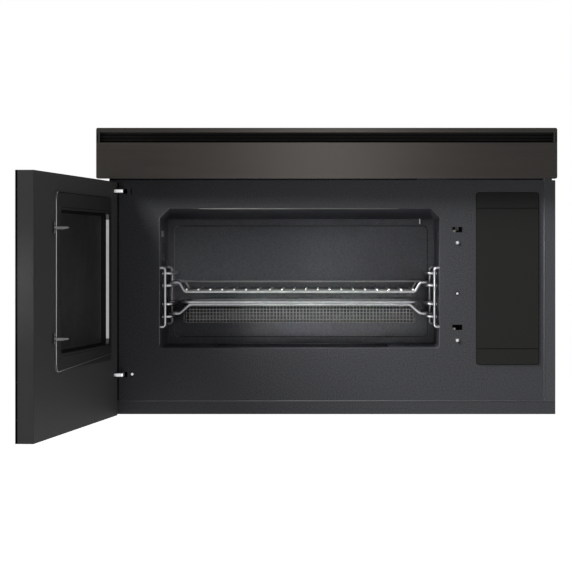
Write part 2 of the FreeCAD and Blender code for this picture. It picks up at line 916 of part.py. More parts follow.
def make_magnetron():
    foot = guide_top + 2 * sheet
    top = foot + magnetron_height
    x = about(right_middle, magnetron_width)
    y = about(cavity_mid_y, magnetron_depth)
    flange = block(x, y, (guide_top, foot))
    yoke = block(x, y, (foot, top)).cut(block(grown(x, -2 * sheet), y, (foot, top - 2 * sheet)))
    centre = Vector(right_middle, cavity_mid_y, guide_top)
    core = rod(centre, Vector(right_middle, cavity_mid_y, top), magnetron_core_radius)
    cap_width = magnetron_width * magnetron_cap_share
    cap_depth = magnetron_depth * magnetron_cap_share
    cap = block(about(right_middle, cap_width), about(cavity_mid_y, cap_depth), (top, top + magnetron_cap))
    pitch = magnetron_height / (magnetron_fins + 1)
    fins = [
        block(grown(x, -sheet), y, about(foot + (i + 1) * pitch, sheet)) for i in range(magnetron_fins)
    ]
    probe = rod(centre - Z_AXIS * magnetron_probe_length, centre, magnetron_probe_radius)
    return joined([flange, yoke, core, cap, probe] + fins)


# Cooling fan

def make_fan_shroud():
    wall = (cavity_right + liner_wall, inside_right)
    reach = fan_radius + fan_room + shroud_border
    panel = block(wall, (fan_y, fan_y + sheet), about(fan_z, 2 * reach))
    centre = Vector(right_middle, fan_y, fan_z)
    return panel.cut(rod(centre, centre + Y_AXIS * sheet, fan_radius + fan_room))


def fan_blade():
    """One twisted blade, root to tip, pointing up from the fan's axis."""
    def section(radius, chord, pitch):
        run = chord / 2 * math.cos(math.radians(pitch))
        rise = chord / 2 * math.sin(math.radians(pitch))
        y = fan_y + sheet + fan_room + fan_depth / 2
        corners = [(-run, -rise - sheet / 2), (run, rise - sheet / 2),
                   (run, rise + sheet / 2), (-run, -rise + sheet / 2)]
        points = [Vector(right_middle + a, y + b, fan_z + radius) for a, b in corners]
        return Part.makePolygon(points + points[:1])
    root = section(fan_hub_radius * blade_shares[0], fan_hub_radius, blade_root_degrees)
    tip = section(fan_radius * blade_shares[1], fan_radius * tip_chord_share, blade_tip_degrees)
    return Part.makeLoft([root, tip], True, True)


def make_cooling_fan():
    near = fan_y + sheet + fan_room
    start = Vector(right_middle, near, fan_z)
    hub = rod(start, start + Y_AXIS * fan_depth, fan_hub_radius)
    end = start + Y_AXIS * (fan_depth + fan_room + motor_bore_depth - seat_room)
    shaft = rod(start, end, stirrer_shaft_radius)
    step = 360 / fan_blades
    blades = [turned(fan_blade(), right_middle, 0, Y_AXIS, i * step, fan_z) for i in range(fan_blades)]
    return joined([hub, shaft] + blades)


def make_cooling_fan_motor():
    near = fan_y + sheet + 2 * fan_room + fan_depth
    start = Vector(right_middle, near, fan_z)
    body = rod(start, start + Y_AXIS * fan_motor_length, fan_motor_radius)
    post_x = fan_radius + fan_room + shroud_border / 2
    bar = block(about(right_middle, 2 * post_x + fan_bar_height), (near, near + 2 * sheet),
                about(fan_z, fan_bar_height))
    posts = [
        rod(Vector(right_middle + side * post_x, fan_y + sheet, fan_z),
            Vector(right_middle + side * post_x, near, fan_z), fan_post_radius)
        for side in (-1, 1)
    ]
    bore = rod(start, start + Y_AXIS * motor_bore_depth, stirrer_shaft_radius + running)
    return joined([body, bar] + posts).cut(bore)


def make_inverter_board():
    face = inside_right - board_standoff - board_thickness
    y = (plate_back + board_front, plate_back + board_front + board_length)
    z = (plate_top - sheet - board_drop - board_height, plate_top - sheet - board_drop)
    board = block((face, face + board_thickness), y, z)
    inset = 3 * standoff_radius
    pillars = [
        rod(Vector(face + board_thickness, a, b), Vector(inside_right, a, b), standoff_radius)
        for a in grown(y, -inset) for b in grown(z, -inset)
    ]
    coil_y = sum(y) / 2 + transformer_size
    coil = rounded(block((face - transformer_size, face), about(coil_y, transformer_size),
                         about(sum(z) / 2, transformer_size)), transformer_radius, X_AXIS)
    sink_y = sum(y) / 2 - transformer_size
    sink = block((face - transformer_size / 2, face), about(sink_y, transformer_size), grown(z, -2 * inset))
    grooves = [
        block((face - transformer_size / 2, face - 2 * sheet), pair, grown(z, -2 * inset))
        for pair in cells(heat_sink_grooves, about(sink_y, transformer_size), 2 * sheet)
    ]
    can = rod(Vector(face, sum(y) / 2, z[0] + 2 * capacitor_radius),
              Vector(face - transformer_size, sum(y) / 2, z[0] + 2 * capacitor_radius), capacitor_radius)
    return joined([board, coil, sink.cut(grooves), can] + pillars)


# Convection unit on the cavity's left wall

def convection_point(x):
    return Vector(x, convection_y, convection_z)


def make_convection_grille():
    y = grown(about(convection_y, grille_size), grille_lap)
    z = grown(about(convection_z, grille_size), grille_lap)
    x = (liner_left - sheet, liner_left)
    columns, rows = grille_slot_counts
    bar = grille_size / rows * (1 - grille_slot_share)
    slots = [
        block(x, a, b)
        for a in cells(columns, about(convection_y, grille_size), 2 * bar)
        for b in cells(rows, about(convection_z, grille_size), bar)
    ]
    return block(x, y, z).cut(slots)


def heater_leg_places():
    return [(convection_y + side * heater_leg_spread / 2, convection_z - heater_radius) for side in (-1, 1)]


def make_convection_housing():
    drum = rod(convection_point(housing_left), convection_point(liner_left), convection_radius)
    hollow = rod(convection_point(housing_left + sheet), convection_point(liner_left), convection_radius - sheet)
    brim = rod(convection_point(liner_left - sheet), convection_point(liner_left),
               convection_radius + convection_flange)
    hole = rod(convection_point(housing_left), convection_point(housing_left + sheet),
               stirrer_shaft_radius + seat_room)
    cuts = [hollow, hole]
    for y, z in heater_leg_places():
        cuts.append(rod(Vector(housing_left, y, z), Vector(housing_left + sheet, y, z), heater_tube))
    return joined([drum, brim]).cut(cuts)


def make_convection_fan():
    back = housing_left + convection_depth / 4
    disc = rod(convection_point(back), convection_point(back + sheet), convection_fan_radius)
    shaft = rod(convection_point(housing_left - motor_bore_depth + seat_room),
                convection_point(back + convection_blade_height), stirrer_shaft_radius)
    inner, outer = [convection_z + convection_fan_radius * share for share in convection_blade_shares]
    blade = block((back, back + convection_blade_height), about(convection_y, sheet), (inner, outer))
    step = 360 / convection_blades
    blades = [
        turned(blade, 0, convection_y, X_AXIS, i * step, convection_z) for i in range(convection_blades)
    ]
    return joined([disc, shaft] + blades)


def make_convection_heater():
    middle = (housing_left + liner_left) / 2
    ring = Part.makeTorus(heater_radius, heater_tube, convection_point(middle), X_AXIS)
    legs = [
        rod(Vector(housing_left - 2 * convection_flange, y, z), Vector(middle, y, z), heater_tube)
        for y, z in heater_leg_places()
    ]
    return joined([ring] + legs)


def make_convection_motor():
    end = convection_point(housing_left - convection_motor_length)
    body = rod(end, convection_point(housing_left), convection_motor_radius)
    bore = rod(convection_point(housing_left - motor_bore_depth), convection_point(housing_left),
               stirrer_shaft_radius + running)
    return body.cut(bore)


# Hood blower

def make_duct_floor():
    floor = block((inside_left, inside_right), (plate_back, -sheet), (plate_top - sheet, plate_top))
    inlet_y = (-duct_inlet_length - base_flange, -base_flange)
    inlets = [
        block((inside_left + base_flange, inside_left + base_flange + duct_inlet_width), inlet_y,
              (plate_top - sheet, plate_top)),
        block((inside_right - base_flange - duct_inlet_width, inside_right - base_flange), inlet_y,
              (plate_top - sheet, plate_top)),
    ]
    return floor.cut(inlets)


def scroll_places():
    """The X pairs of the left and right blower scrolls, each side of the motor."""
    near = blower_motor_length / 2 + blower_motor_gap
    return [(-near - blower_width, -near), (near, near + blower_width)]


def make_scroll(x):
    def body(margin, end):
        radius = blower_radius - margin
        drum = rod(Vector(x[0] + margin, blower_y, blower_z), Vector(x[1] - margin, blower_y, blower_z), radius)
        chute = block(grown(x, -margin), (blower_y - end, blower_y), about(blower_z, 2 * radius))
        return joined([drum, chute])
    axle = wheel_axis()
    inlets = rod(Vector(x[0], *axle), Vector(x[1], *axle), inlet_radius)
    return body(0, blower_outlet).cut([body(blower_wall, blower_outlet), inlets])


def wheel_axis():
    """The Y and Z of the wheels' axis, off the scroll's middle."""
    return blower_y + blower_eccentric, blower_z


def make_blower_wheels():
    y, z = wheel_axis()
    pieces = []
    for x in scroll_places():
        a, b = grown(x, -blower_wall - wheel_end_gap)
        middle = (a + b) / 2
        pieces.append(rod(Vector(middle - sheet, y, z), Vector(middle + sheet, y, z), wheel_radius))
        for end in (a, b - 2 * sheet):
            ring = rod(Vector(end, y, z), Vector(end + 2 * sheet, y, z), wheel_radius)
            eye = rod(Vector(end, y, z), Vector(end + 2 * sheet, y, z), wheel_radius - wheel_blade)
            pieces.append(ring.cut(eye))
        blade = block((a + sheet, b - sheet), about(y, sheet),
                      (z + wheel_radius - wheel_blade + sheet / 2, z + wheel_radius - sheet / 2))
        step = 360 / wheel_blades
        pieces += [turned(blade, 0, y, X_AXIS, i * step, z) for i in range(wheel_blades)]
    left = scroll_places()[0][0] + blower_wall
    right = scroll_places()[1][1] - blower_wall
    shaft = rod(Vector(left, y, z), Vector(right, y, z), blower_shaft_radius)
    return joined([shaft] + pieces)


def make_blower_motor():
    y, z = wheel_axis()
    half = blower_motor_length / 2
    body = rod(Vector(-half, y, z), Vector(half, y, z), blower_motor_radius)
    cradle = block(about(0, blower_motor_length), about(y, blower_motor_radius), (plate_top, z))
    bore = rod(Vector(-half, y, z), Vector(half, y, z), blower_shaft_radius + running)
    return joined([body, cradle]).cut(bore)


def make_charcoal_filter():
    x = about(0, carbon_width)
    y = (plate_back + carbon_setback, plate_back + carbon_setback + carbon_thickness)
    z = (plate_top, plate_top + carbon_height)
    columns, rows = carbon_cell_counts
    front = (y[0], y[0] + carbon_thickness / 3)
    pockets = [
        block(a, front, b)
        for a in cells(columns, x, grille_bar) for b in cells(rows, z, grille_bar)
    ]
    return block(x, y, z).cut(pockets)


# Wire supports, rack and basket

def make_rack_support(wall, rail):
    """The wire support on one side wall, with its rails at one X."""
    inward = math.copysign(support_standoff, rail - wall)
    upright_x = wall + inward
    low = cavity_floor + support_bottom
    top = cavity_floor + support_top
    pieces = []
    for y in support_y:
        path = [Vector(wall, y, top), Vector(upright_x, y, top),
                Vector(upright_x, y, low), Vector(wall, y, low)]
        pieces.append(bent_rod(path, wire_radius * 2, wire_radius))
    front, rear = grown(support_y, weld_depth - 2 * wire_radius)
    leg_x = wall + inward / 2
    for level in rail_levels:
        z = cavity_floor + level
        path = [Vector(leg_x, front, z), Vector(rail, front, z), Vector(rail, rear, z), Vector(leg_x, rear, z)]
        pieces.append(bent_rod(path, wire_bend, wire_radius))
    return joined(pieces)


def seat_level(rail):
    """The middle of a wire that rests on one of the rails."""
    return cavity_floor + rail_levels[rail] + 2 * wire_radius + seat_room


def make_loop(z, shoulder, slope, step):
    """A rack's outer wire: side runs on the rails, ends stepped up or down between them."""
    middle_y = sum(rack_y) / 2
    halves = []
    for y in rack_y:
        path = [
            Vector(rail_left, middle_y, z), Vector(rail_left, y, z),
            Vector(rail_left + shoulder, y, z), Vector(rail_left + shoulder + slope, y, z + step),
            Vector(rail_right - shoulder - slope, y, z + step), Vector(rail_right - shoulder, y, z),
            Vector(rail_right, y, z), Vector(rail_right, middle_y, z),
        ]
        halves.append(bent_rod(path, wire_bend, wire_radius))
    return halves


def make_wire_rack():
    z = seat_level(2)
    rib_z = z - rack_drop + wire_radius + rib_radius - weld_depth
    side = rack_shoulder + rack_slope + rib_end
    first = rail_left + side
    pitch = (rail_right - side - first) / (rib_count - 1)
    ribs = []
    for i in range(rib_count):
        x = first + i * pitch
        ribs.append(rod(Vector(x, rack_y[0] - wire_radius, rib_z), Vector(x, rack_y[1] + wire_radius, rib_z),
                        rib_radius))
    guard_y = rack_y[1] - wire_radius - rib_radius + weld_depth
    guard = rod(Vector(rail_left + guard_inset, guard_y, z), Vector(rail_right - guard_inset, guard_y, z),
                rib_radius)
    return joined(make_loop(z, rack_shoulder, rack_slope, -rack_drop) + ribs + [guard])


def rim_box():
    """The X and Y pairs of the basket rim's wire."""
    return (rail_left + rim_inset, rail_right - rim_inset), rack_y


def rim_level():
    return seat_level(0) + basket_rise + rim_rise


def make_basket_frame():
    (left, right), (front, rear) = rim_box()
    z = rim_level()
    middle = (left + right) / 2
    halves = []
    for x in (left, right):
        path = [Vector(middle, front, z), Vector(x, front, z), Vector(x, rear, z), Vector(middle, rear, z)]
        halves.append(bent_rod(path, rim_bend, wire_radius))
    return joined(make_loop(seat_level(0), basket_shoulder, basket_slope, basket_rise) + halves)


def make_basket_tray():
    x, y = rim_box()
    x = grown(x, -wire_radius)
    y = grown(y, -wire_radius)
    top = rim_level()
    floor = top - tray_depth
    shell = rounded(block(x, y, (floor, top)), tray_radius, Z_AXIS)
    hollow = rounded(block(grown(x, -tray_wall), grown(y, -tray_wall), (floor + tray_wall, top)),
                     tray_radius - tray_wall, Z_AXIS)
    inner_x = grown(x, -tray_radius)
    inner_y = grown(y, -tray_radius)
    wall_z = (floor + tray_wall, top)
    cuts = [hollow]
    for a in cells(floor_gap_counts[0], inner_x, tray_wire):
        cuts += [block(a, b, (floor, floor + tray_wall)) for b in cells(floor_gap_counts[1], inner_y, tray_wire)]
    for c in cells(long_wall_gap_counts[1], wall_z, tray_wire):
        cuts += [block(a, y, c) for a in cells(long_wall_gap_counts[0], inner_x, tray_wire)]
    for c in cells(short_wall_gap_counts[1], wall_z, tray_wire):
        cuts += [block(x, b, c) for b in cells(short_wall_gap_counts[0], inner_y, tray_wire)]
    return shell.cut(cuts)


# Door, closed against the front plate

def frame_box():
    """The X and Z pairs of the raised frame round the door's window."""
    return grown((cavity_left, cavity_right), frame_margin), grown((cavity_floor, cavity_top), frame_margin)


def recess_box():
    """The X and Z pairs of the window recess."""
    x, z = frame_box()
    return (x[0] + frame_border_hinge, x[1] - frame_border_free), grown(z, -frame_border)


def recess_block(y, margin):
    """A rounded block round the window recess, a margin outside it."""
    x, z = recess_box()
    return rounded(block(grown(x, margin), y, grown(z, margin)), max(recess_radius + margin, wire_radius), Y_AXIS)


def touch_box():
    """The X and Z pairs of the touch glass."""
    return (latch_x + touch_gap, door_right - touch_margin), (door_foot + touch_margin, door_top - touch_margin)


panel_inner = door_inner - sheet
skin_inner = door_outer + sheet
glass_inner = skin_inner + door_glass_thickness
recess_floor = door_inner + frame_proud - recess_depth
screen_inner = recess_floor - inner_glass_thickness
screen_outer = screen_inner - screen_thickness
hook_levels = [z - hook_drop for z in latch_levels]


def make_door_skin():
    def shell(margin, rear):
        body = block(grown((door_left, door_right), -margin), (door_outer + margin, rear),
                     grown((door_foot, door_top), -margin))
        edge = [e for e in body.Edges if is_hinge_edge(e, rear)]
        return body.makeFillet(door_edge_radius - margin, edge)
    opening = block((door_left + door_edge_radius, door_right - sheet), (panel_inner, door_inner),
                    grown((door_foot, door_top), -sheet))
    window = recess_block((door_outer, skin_inner), -window_lap)
    x, z = touch_box()
    touch = rounded(block(grown(x, -window_lap), (door_outer, skin_inner), grown(z, -window_lap)),
                    cover_radius, Y_AXIS)
    return shell(0, door_inner).cut([shell(sheet, panel_inner), opening, window, touch])


def is_hinge_edge(edge, rear):
    """The upright edge on the hinge side, next to the case."""
    upright = abs(edge.tangentAt(edge.FirstParameter).dot(Z_AXIS)) > 0.99
    at = edge.CenterOfMass
    return upright and at.x < 0 and abs(at.y - rear) < running


def hook_slot(z, y):
    """Room for one hook, over the latch slide's whole travel."""
    low = z - hook_height / 2 - barb_height - slide_down - seat_room
    return block(about(latch_x, hook_width + 2 * seat_room), y, (low, z + hook_height / 2 + slide_up + seat_room))


def spring_top():
    """The top of the latch spring, clear of the slide at its lowest."""
    return hook_levels[0] - slide_end - slide_down - seat_room


def spring_foot():
    return spring_top() - spring_turns * spring_pitch - spring_wire


def make_door_inner_panel():
    panel = block((door_left + door_edge_radius, door_right - sheet), (panel_inner, door_inner),
                  grown((door_foot, door_top), -sheet))
    through = (panel_inner, door_inner)
    cuts = [recess_block(through, recess_wall + seat_room)]
    for z in hinge_levels:
        cuts.append(block((door_left + door_edge_radius, neck_x + arm_width / 2 + arm_room), through,
                          about(z, arm_height + 2 * arm_room)))
    cuts += [hook_slot(z, through) for z in hook_levels]
    seat = block(about(latch_x, 4 * spring_radius), (panel_inner - 4 * spring_radius, panel_inner),
                 (spring_foot() - spring_wire - 2 * sheet, spring_foot() - spring_wire))
    return joined([panel.cut(cuts), seat])


def make_choke_cover():
    x, z = frame_box()
    flange = rounded(block(x, (door_inner, door_inner + frame_proud), z), frame_radius, Y_AXIS)
    tube = recess_block((recess_floor, door_inner), recess_wall)
    return joined([flange, tube]).cut(recess_block((recess_floor, door_inner + frame_proud), 0))


def make_choke_frame():
    deep = (glass_inner, screen_outer)
    ring = recess_block(deep, choke_width).cut(recess_block(deep, 0))
    channel = (glass_inner + sheet, screen_outer)
    groove = recess_block(channel, choke_width - sheet).cut(recess_block(channel, sheet))
    return ring.cut(groove)


def make_touch_glass():
    x, z = touch_box()
    return rounded(block(x, (skin_inner, skin_inner + touch_thickness), z), cover_radius, Y_AXIS)


def make_latch_slide():
    rear = panel_inner - seat_room
    bar = block(about(latch_x, slide_width), (rear - slide_thickness, rear),
                (hook_levels[0] - slide_end, hook_levels[1] + slide_end))
    tip = door_inner + hook_reach
    catch = plate_back + barb_gap
    hooks = []
    for z in hook_levels:
        low = z - hook_height / 2
        top = z + hook_height / 2
        outline = [
            (rear - sheet, top), (tip - hook_height, top), (tip, z), (tip, low),
            ((catch + tip) / 2, low - barb_height), (catch, low - barb_height), (catch, low), (rear - sheet, low),
        ]
        points = [Vector(latch_x - hook_width / 2, y, height) for y, height in outline]
        hooks.append(prism(points, X_AXIS * hook_width))
    return joined([bar] + hooks)


def make_latch_bezels():
    bezels = []
    for z in hook_levels:
        middle = z + (slide_up - slide_down - barb_height) / 2
        y = (door_inner, door_inner + bezel_proud)
        plate = rounded(block(about(latch_x, bezel_width), y, about(middle, bezel_height)), sheet, Y_AXIS)
        bezels.append(plate.cut(hook_slot(z, y)))
    return Part.makeCompound(bezels)


def make_latch_spring():
    """An unbroken coil of half-turn arcs under the latch slide."""
    axis_y = panel_inner - 2 * spring_radius
    rise = spring_pitch / 2

    def at(half_turns):
        angle = math.pi * half_turns
        return Vector(latch_x + spring_radius * math.cos(angle), axis_y + spring_radius * math.sin(angle),
                      spring_foot() + rise * half_turns)
    arcs = [Part.Arc(at(i), at(i + 0.5), at(i + 1)).toShape() for i in range(2 * spring_turns)]
    heading = arcs[0].tangentAt(arcs[0].FirstParameter)
    section = Part.Wire(Part.makeCircle(spring_wire, at(0), heading))
    print("latch spring, least gap between turns:", round(spring_pitch - 2 * spring_wire, 2), "mm")
    return Part.Wire(arcs).makePipeShell([section], True, False)


def clevis_z(z):
    """The heights of the clevis cheeks, below and above the hinge arm."""
    half = arm_height / 2 + arm_room
    return (z - half - clevis_cheek, z - half), (z + half, z + half + clevis_cheek)


def make_hinge_blocks():
    blocks = []
    for z in hinge_levels:
        low, high = clevis_z(z)
        x = (door_left + sheet + arm_room, pivot_x + eye_radius + arm_room)
        y = (skin_inner, pivot_y + eye_radius)
        back = block(x, (skin_inner, skin_inner + clevis_back), (low[0], high[1]))
        clevis = joined([block(x, y, low), block(x, y, high), back])
        blocks.append(clevis.cut(rod(*pin_ends(z), pin_radius)))
    return Part.makeCompound(blocks)


def pin_ends(z):
    low, high = clevis_z(z)
    return Vector(pivot_x, pivot_y, low[0]), Vector(pivot_x, pivot_y, high[1])


def make_hinge_pins():
    return Part.makeCompound([rod(*pin_ends(z), pin_radius) for z in hinge_levels])


fixed = {
    "front_plate": make_front_plate(),
    "case_wrap": make_case_wrap(),
    "back_plate": make_back_plate(),
    "base_plate": make_base_plate(),
    "right_trim_strip": make_right_trim_strip(),
    "vent_fascia": make_vent_fascia(),
    "vent_grille": make_vent_grille(),
    "charcoal_filter": make_charcoal_filter(),
    "grease_filters": Part.makeCompound([make_grease_filter(place) for place in filter_places()]),
    "hood_lamp_lenses": make_hood_lamp_lenses(),
    "bolt_plates": make_bolt_plates(),
    "cord_bushing": make_cord_bushing(),
    "control_cover": make_control_cover(),
    "latch_board": make_latch_board(),
    "latch_screws": make_latch_screws(),
    "interlock_switches": make_interlock_switches(),
    "hinge_arms": Part.makeCompound([make_hinge_arm(z) for z in hinge_levels]),
    "cavity_liner": make_cavity_liner(),
    "cavity_back": make_cavity_back(),
    "lamp_lens": make_lamp_lens(),
    "cavity_lamp": make_cavity_lamp(),
    "temperature_probe": make_temperature_probe(),
    "rack_support_left": make_rack_support(cavity_left, rail_left),
    "rack_support_right": make_rack_support(cavity_right, rail_right),
    "floor_plate": make_floor_plate(),
    "antenna_well": make_antenna_well(),
    "waveguide": make_waveguide(),
    "stirrer_motor": make_stirrer_motor(),
    "magnetron": make_magnetron(),
    "fan_shroud": make_fan_shroud(),
    "cooling_fan_motor": make_cooling_fan_motor(),
    "inverter_board": make_inverter_board(),
    "convection_grille": make_convection_grille(),
    "convection_housing": make_convection_housing(),
    "convection_heater": make_convection_heater(),
    "convection_motor": make_convection_motor(),
    "duct_floor": make_duct_floor(),
    "blower_housing": Part.makeCompound([make_scroll(x) for x in scroll_places()]),
    "blower_motor": make_blower_motor(),
}
moving = {
    "interlock_lever": make_interlock_lever(),
    "stirrer": make_stirrer(),
    "cooling_fan": make_cooling_fan(),
    "convection_fan": make_convection_fan(),
    "blower_wheels": make_blower_wheels(),
    "wire_rack": make_wire_rack(),
    "basket_frame": make_basket_frame(),
    "basket_tray": make_basket_tray(),
}
door = {
    "door_skin": make_door_skin(),
    "door_glass": recess_block((skin_inner, glass_inner), door_glass_lap),
    "touch_glass": make_touch_glass(),
    "door_inner_panel": make_door_inner_panel(),
    "choke_cover": make_choke_cover(),
    "choke_frame": make_choke_frame(),
    "inner_glass": recess_block((screen_inner, recess_floor), inner_glass_lap),
    "shield_screen": recess_block((screen_outer, screen_inner), inner_glass_lap),
    "latch_slide": make_latch_slide(),
    "latch_bezels": make_latch_bezels(),
    "latch_spring": make_latch_spring(),
    "hinge_blocks": make_hinge_blocks(),
    "hinge_pins": make_hinge_pins(),
}

os.makedirs("parts", exist_ok=True)
for name, shape in {**fixed, **moving}.items():
    shape.exportStep(f"parts/{name}.step")
for name, shape in door.items():
    opened(shape).exportStep(f"parts/{name}.step")
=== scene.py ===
import json
import math

import bmesh
import bpy
from mathutils import Matrix, Vector


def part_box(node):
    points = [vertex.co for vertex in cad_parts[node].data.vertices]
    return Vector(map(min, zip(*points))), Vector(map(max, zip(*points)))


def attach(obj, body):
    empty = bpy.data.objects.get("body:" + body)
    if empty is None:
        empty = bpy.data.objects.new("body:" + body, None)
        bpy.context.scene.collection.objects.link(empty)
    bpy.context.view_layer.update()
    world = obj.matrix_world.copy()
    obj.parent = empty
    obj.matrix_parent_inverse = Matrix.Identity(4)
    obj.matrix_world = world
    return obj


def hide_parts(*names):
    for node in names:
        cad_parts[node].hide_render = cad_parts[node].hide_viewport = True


# Looks of the built-in microwave: materials, thin trim, studio and camera. Lengths are in metres.

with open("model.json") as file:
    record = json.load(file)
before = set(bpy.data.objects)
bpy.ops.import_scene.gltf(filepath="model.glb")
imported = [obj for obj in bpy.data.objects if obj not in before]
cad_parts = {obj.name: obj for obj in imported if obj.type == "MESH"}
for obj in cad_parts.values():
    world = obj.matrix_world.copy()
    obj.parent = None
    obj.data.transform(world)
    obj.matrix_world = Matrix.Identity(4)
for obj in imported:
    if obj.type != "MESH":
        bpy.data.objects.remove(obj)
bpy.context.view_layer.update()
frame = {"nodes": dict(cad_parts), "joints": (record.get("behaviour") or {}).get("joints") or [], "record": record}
scene = bpy.context.scene
scene.view_settings.view_transform = "Standard"

MM = 0.001

# The photograph's camera: its place, long lens and off-centre framing
CAMERA_PLACE = (0.0, -5.25, 0.2714)
CAMERA_LENS = 186.3
CAMERA_SHIFT = (-0.0712, -0.0594)
CAMERA_FAR = 100.0

# Studio: floor, light from all round, and each lamp's place, aim, size, power and spread in degrees
FLOOR_LEVEL = -0.6
FLOOR_SIZE = 30.0
AMBIENT = 0.065
LAMPS = {
    "upper_left": ((-1.6, -1.0, 1.7), (0.1, -0.35, 0.2), (1.0, 0.8), 122, 180),
    "front_left": ((-1.5, -4.0, -0.1), (0.0, -0.35, 0.2), (1.1, 0.6), 21, 180),
    "front_middle": ((0.0, -5.5, 0.6), (0.0, -0.38, 0.43), (0.3, 0.5), 4.0, 180),
    "right_fill": ((3.0, -1.3, 0.2), (0.0, -0.5, 0.2), (1.0, 1.0), 8, 180),
    "cavity_left": ((-1.0, -3.0, 0.22), (-0.045, -0.35, 0.2275), (0.3, 0.06), 0.056, 5),
    "cavity_right": ((1.0, -3.0, 0.22), (-0.045, -0.35, 0.2275), (0.3, 0.06), 0.056, 5),
    "cavity_middle": ((0.005, -3.0, 0.19), (0.005, -0.35, 0.165), (0.29, 0.05), 0.037, 1.6),
}

# Sides of round wires, beads and heads
WIRE_SIDES = 6
BEAD_SIDES = 10
DOME_SIDES = 12
SCREW_SIDES = 16
RIVET_SIDES = 20

# Scales of the textures, per metre
BRUSH_SCALE = (5, 5, 1100)
FLECK_SCALE = 520.0
PEEL_SCALE = 420.0
GRAIN_SCALE = 2200.0
CLOUD_SCALE = 160.0
SMEAR_SCALE = 30.0
TRACK_SCALE = 140.0

# Fine wire mesh of the basket, its wires darkened away from the front wall as painted shade
MESH_PITCH = 5.55 * MM
MESH_WIRE = 0.55 * MM
MESH_BEND = 3.0 * MM
BEND_MIDDLE = 0.3
TRAY_CORNER = 12.6 * MM
MESH_LIT_TO = 0.005
MESH_SHADED_FROM = 0.03

# Ribs of the wire rack, and the stepped dome on the front end of each, in a bright paint that is a painted glint
RIB_X = (-233.05 * MM, 143.15 * MM)
RIB_COUNT = 20
RIB_LEVEL = 209.0 * MM
RIB_RADIUS = 1.45 * MM
RIB_REACH = 1.2 * RIB_RADIUS
RIB_DOME = 0.5 * MM
RIB_STEPS = ((1.0, 0.5), (0.7, 1.0))

# Bright strip on the hinge side of the door's window recess, its ends bent round by angles in degrees and painted
# dark as painted shade
GLASS_LAP = 6.0 * MM
REVEAL_THICKNESS = 0.4 * MM
REVEAL_CORNER = 10.5 * MM
REVEAL_REAR = 1.2 * MM
REVEAL_DEPTH = 4.4 * MM
REVEAL_LEAN = 1.5 * MM
REVEAL_FROM = 250
REVEAL_TURN = 70
REVEAL_STEPS = 6

# Black border on the window's glass, printed where narrow and widened towards the hinges with painted shade
BORDER_HINGE_SHADE = 44.0 * MM
BORDER_NARROW = 5.0 * MM
BORDER_LAYER = (0.02 * MM, 0.12 * MM)

# Rim of the window frame, a painted highlight, and painted shade in the groove round its opening
RIM_BEAD = 0.75 * MM
RIM_PROUD = 0.2 * MM
RIM_CORNER = 15.0 * MM
GROOVE_OFFSET = 3.3 * MM
GROOVE_BEAD = 0.5 * MM
FRAME_MARGIN = 10.0 * MM

# Black edge of the door's front
DOOR_COLOUR = (0.06, 0.06, 0.06)
DOOR_EDGE_BAND = 3.2 * MM
DOOR_EDGE_REACH = 10.0 * MM
DOOR_EDGE_WAVER = 0.4 * MM

# Hinge arms: their height and foot, which place the painted shade along the arms' edges
ARM_HEIGHT = 7.0 * MM
ARM_FOOT_HEIGHT = 30.0 * MM

# Rolled edge of the cavity's mouth and a bead along its top, both in light paints as painted highlights
LINER_WALL = 1.0 * MM
MOUTH_CHAMFER = (16.0 * MM, 15.0 * MM)
MOUTH_FOOT = 6.0 * MM
MOUTH_BEAD = 0.55 * MM
MOUTH_PROUD = 0.15 * MM
LIP_HIGHLIGHT_X = (-211.0 * MM, 118.0 * MM)
LIP_HIGHLIGHT_BEAD = 0.65 * MM

# Panel pressed into the cavity's back wall, and a pale patch on its left wall that is a painted highlight
PANEL_INSET = 11.5 * MM
PANEL_DROP = 26.2 * MM
PANEL_CORNER = 8.0 * MM
PANEL_BEAD = 0.5 * MM
SIDE_PATCH_Y = (-288.0 * MM, -227.0 * MM)
SIDE_PATCH_Z = (297.0 * MM, 307.0 * MM)
SIDE_PATCH_DEPTH = 0.5 * MM

# Seams of the front as light beads that are painted highlights, thin dark joints, and a strip of painted shade
# along the hinges
SEAM_BEAD = 0.5 * MM
JOINT_DEPTH = 0.4 * MM
COVER_CORNER = 4.0 * MM
COVER_JOINT = 0.9 * MM
COVER_EDGE = 0.2 * MM
# Strip of painted shade on the plate along the door's hinge edge
HINGE_SHADE_X = (-347.5 * MM, -344.2 * MM)
HINGE_SHADE_DROP = 5 * MM
SLOT_END_X = (376.4 * MM, 378.6 * MM)
SLOT_END_Z = (451.6 * MM, 468.0 * MM)

# Rivet in the lower cam slot
RIVET_PLACE = (-322.1 * MM, 69.2 * MM)
RIVET_RADIUS = 2.3 * MM
RIVET_RING = 3.4 * MM
RIVET_HEIGHT = 0.8 * MM

# Catches behind the latch slots, from the latch board's middle line
CATCH_X = (-8.2 * MM, -3.1 * MM)
CATCH_Z = (-4.3 * MM, -0.6 * MM)
CATCH_DEPTH = (0.9 * MM, 2.4 * MM)
BOARD_END = 24.0 * MM

# Dark rings round the heads of the latch screws, as painted shade
LATCH_HEAD = 3.4 * MM
LATCH_RIM = 2.85 * MM
LATCH_RIM_BEAD = 0.8 * MM
LATCH_RIM_SUNK = 0.55 * MM
LATCH_RIM_STEPS = 24

# Sheet-metal screws on the case's sides, their heads in two steps
SCREW_RADIUS = 4.0 * MM
SCREW_HEIGHT = 1.8 * MM
SCREW_STEPS = ((1.0, 0.6), (0.7, 1.0))
SCREW_Y = (-330.0 * MM, -20.0 * MM)
SCREW_Z = (60.0 * MM, 240.0 * MM, 440.0 * MM)

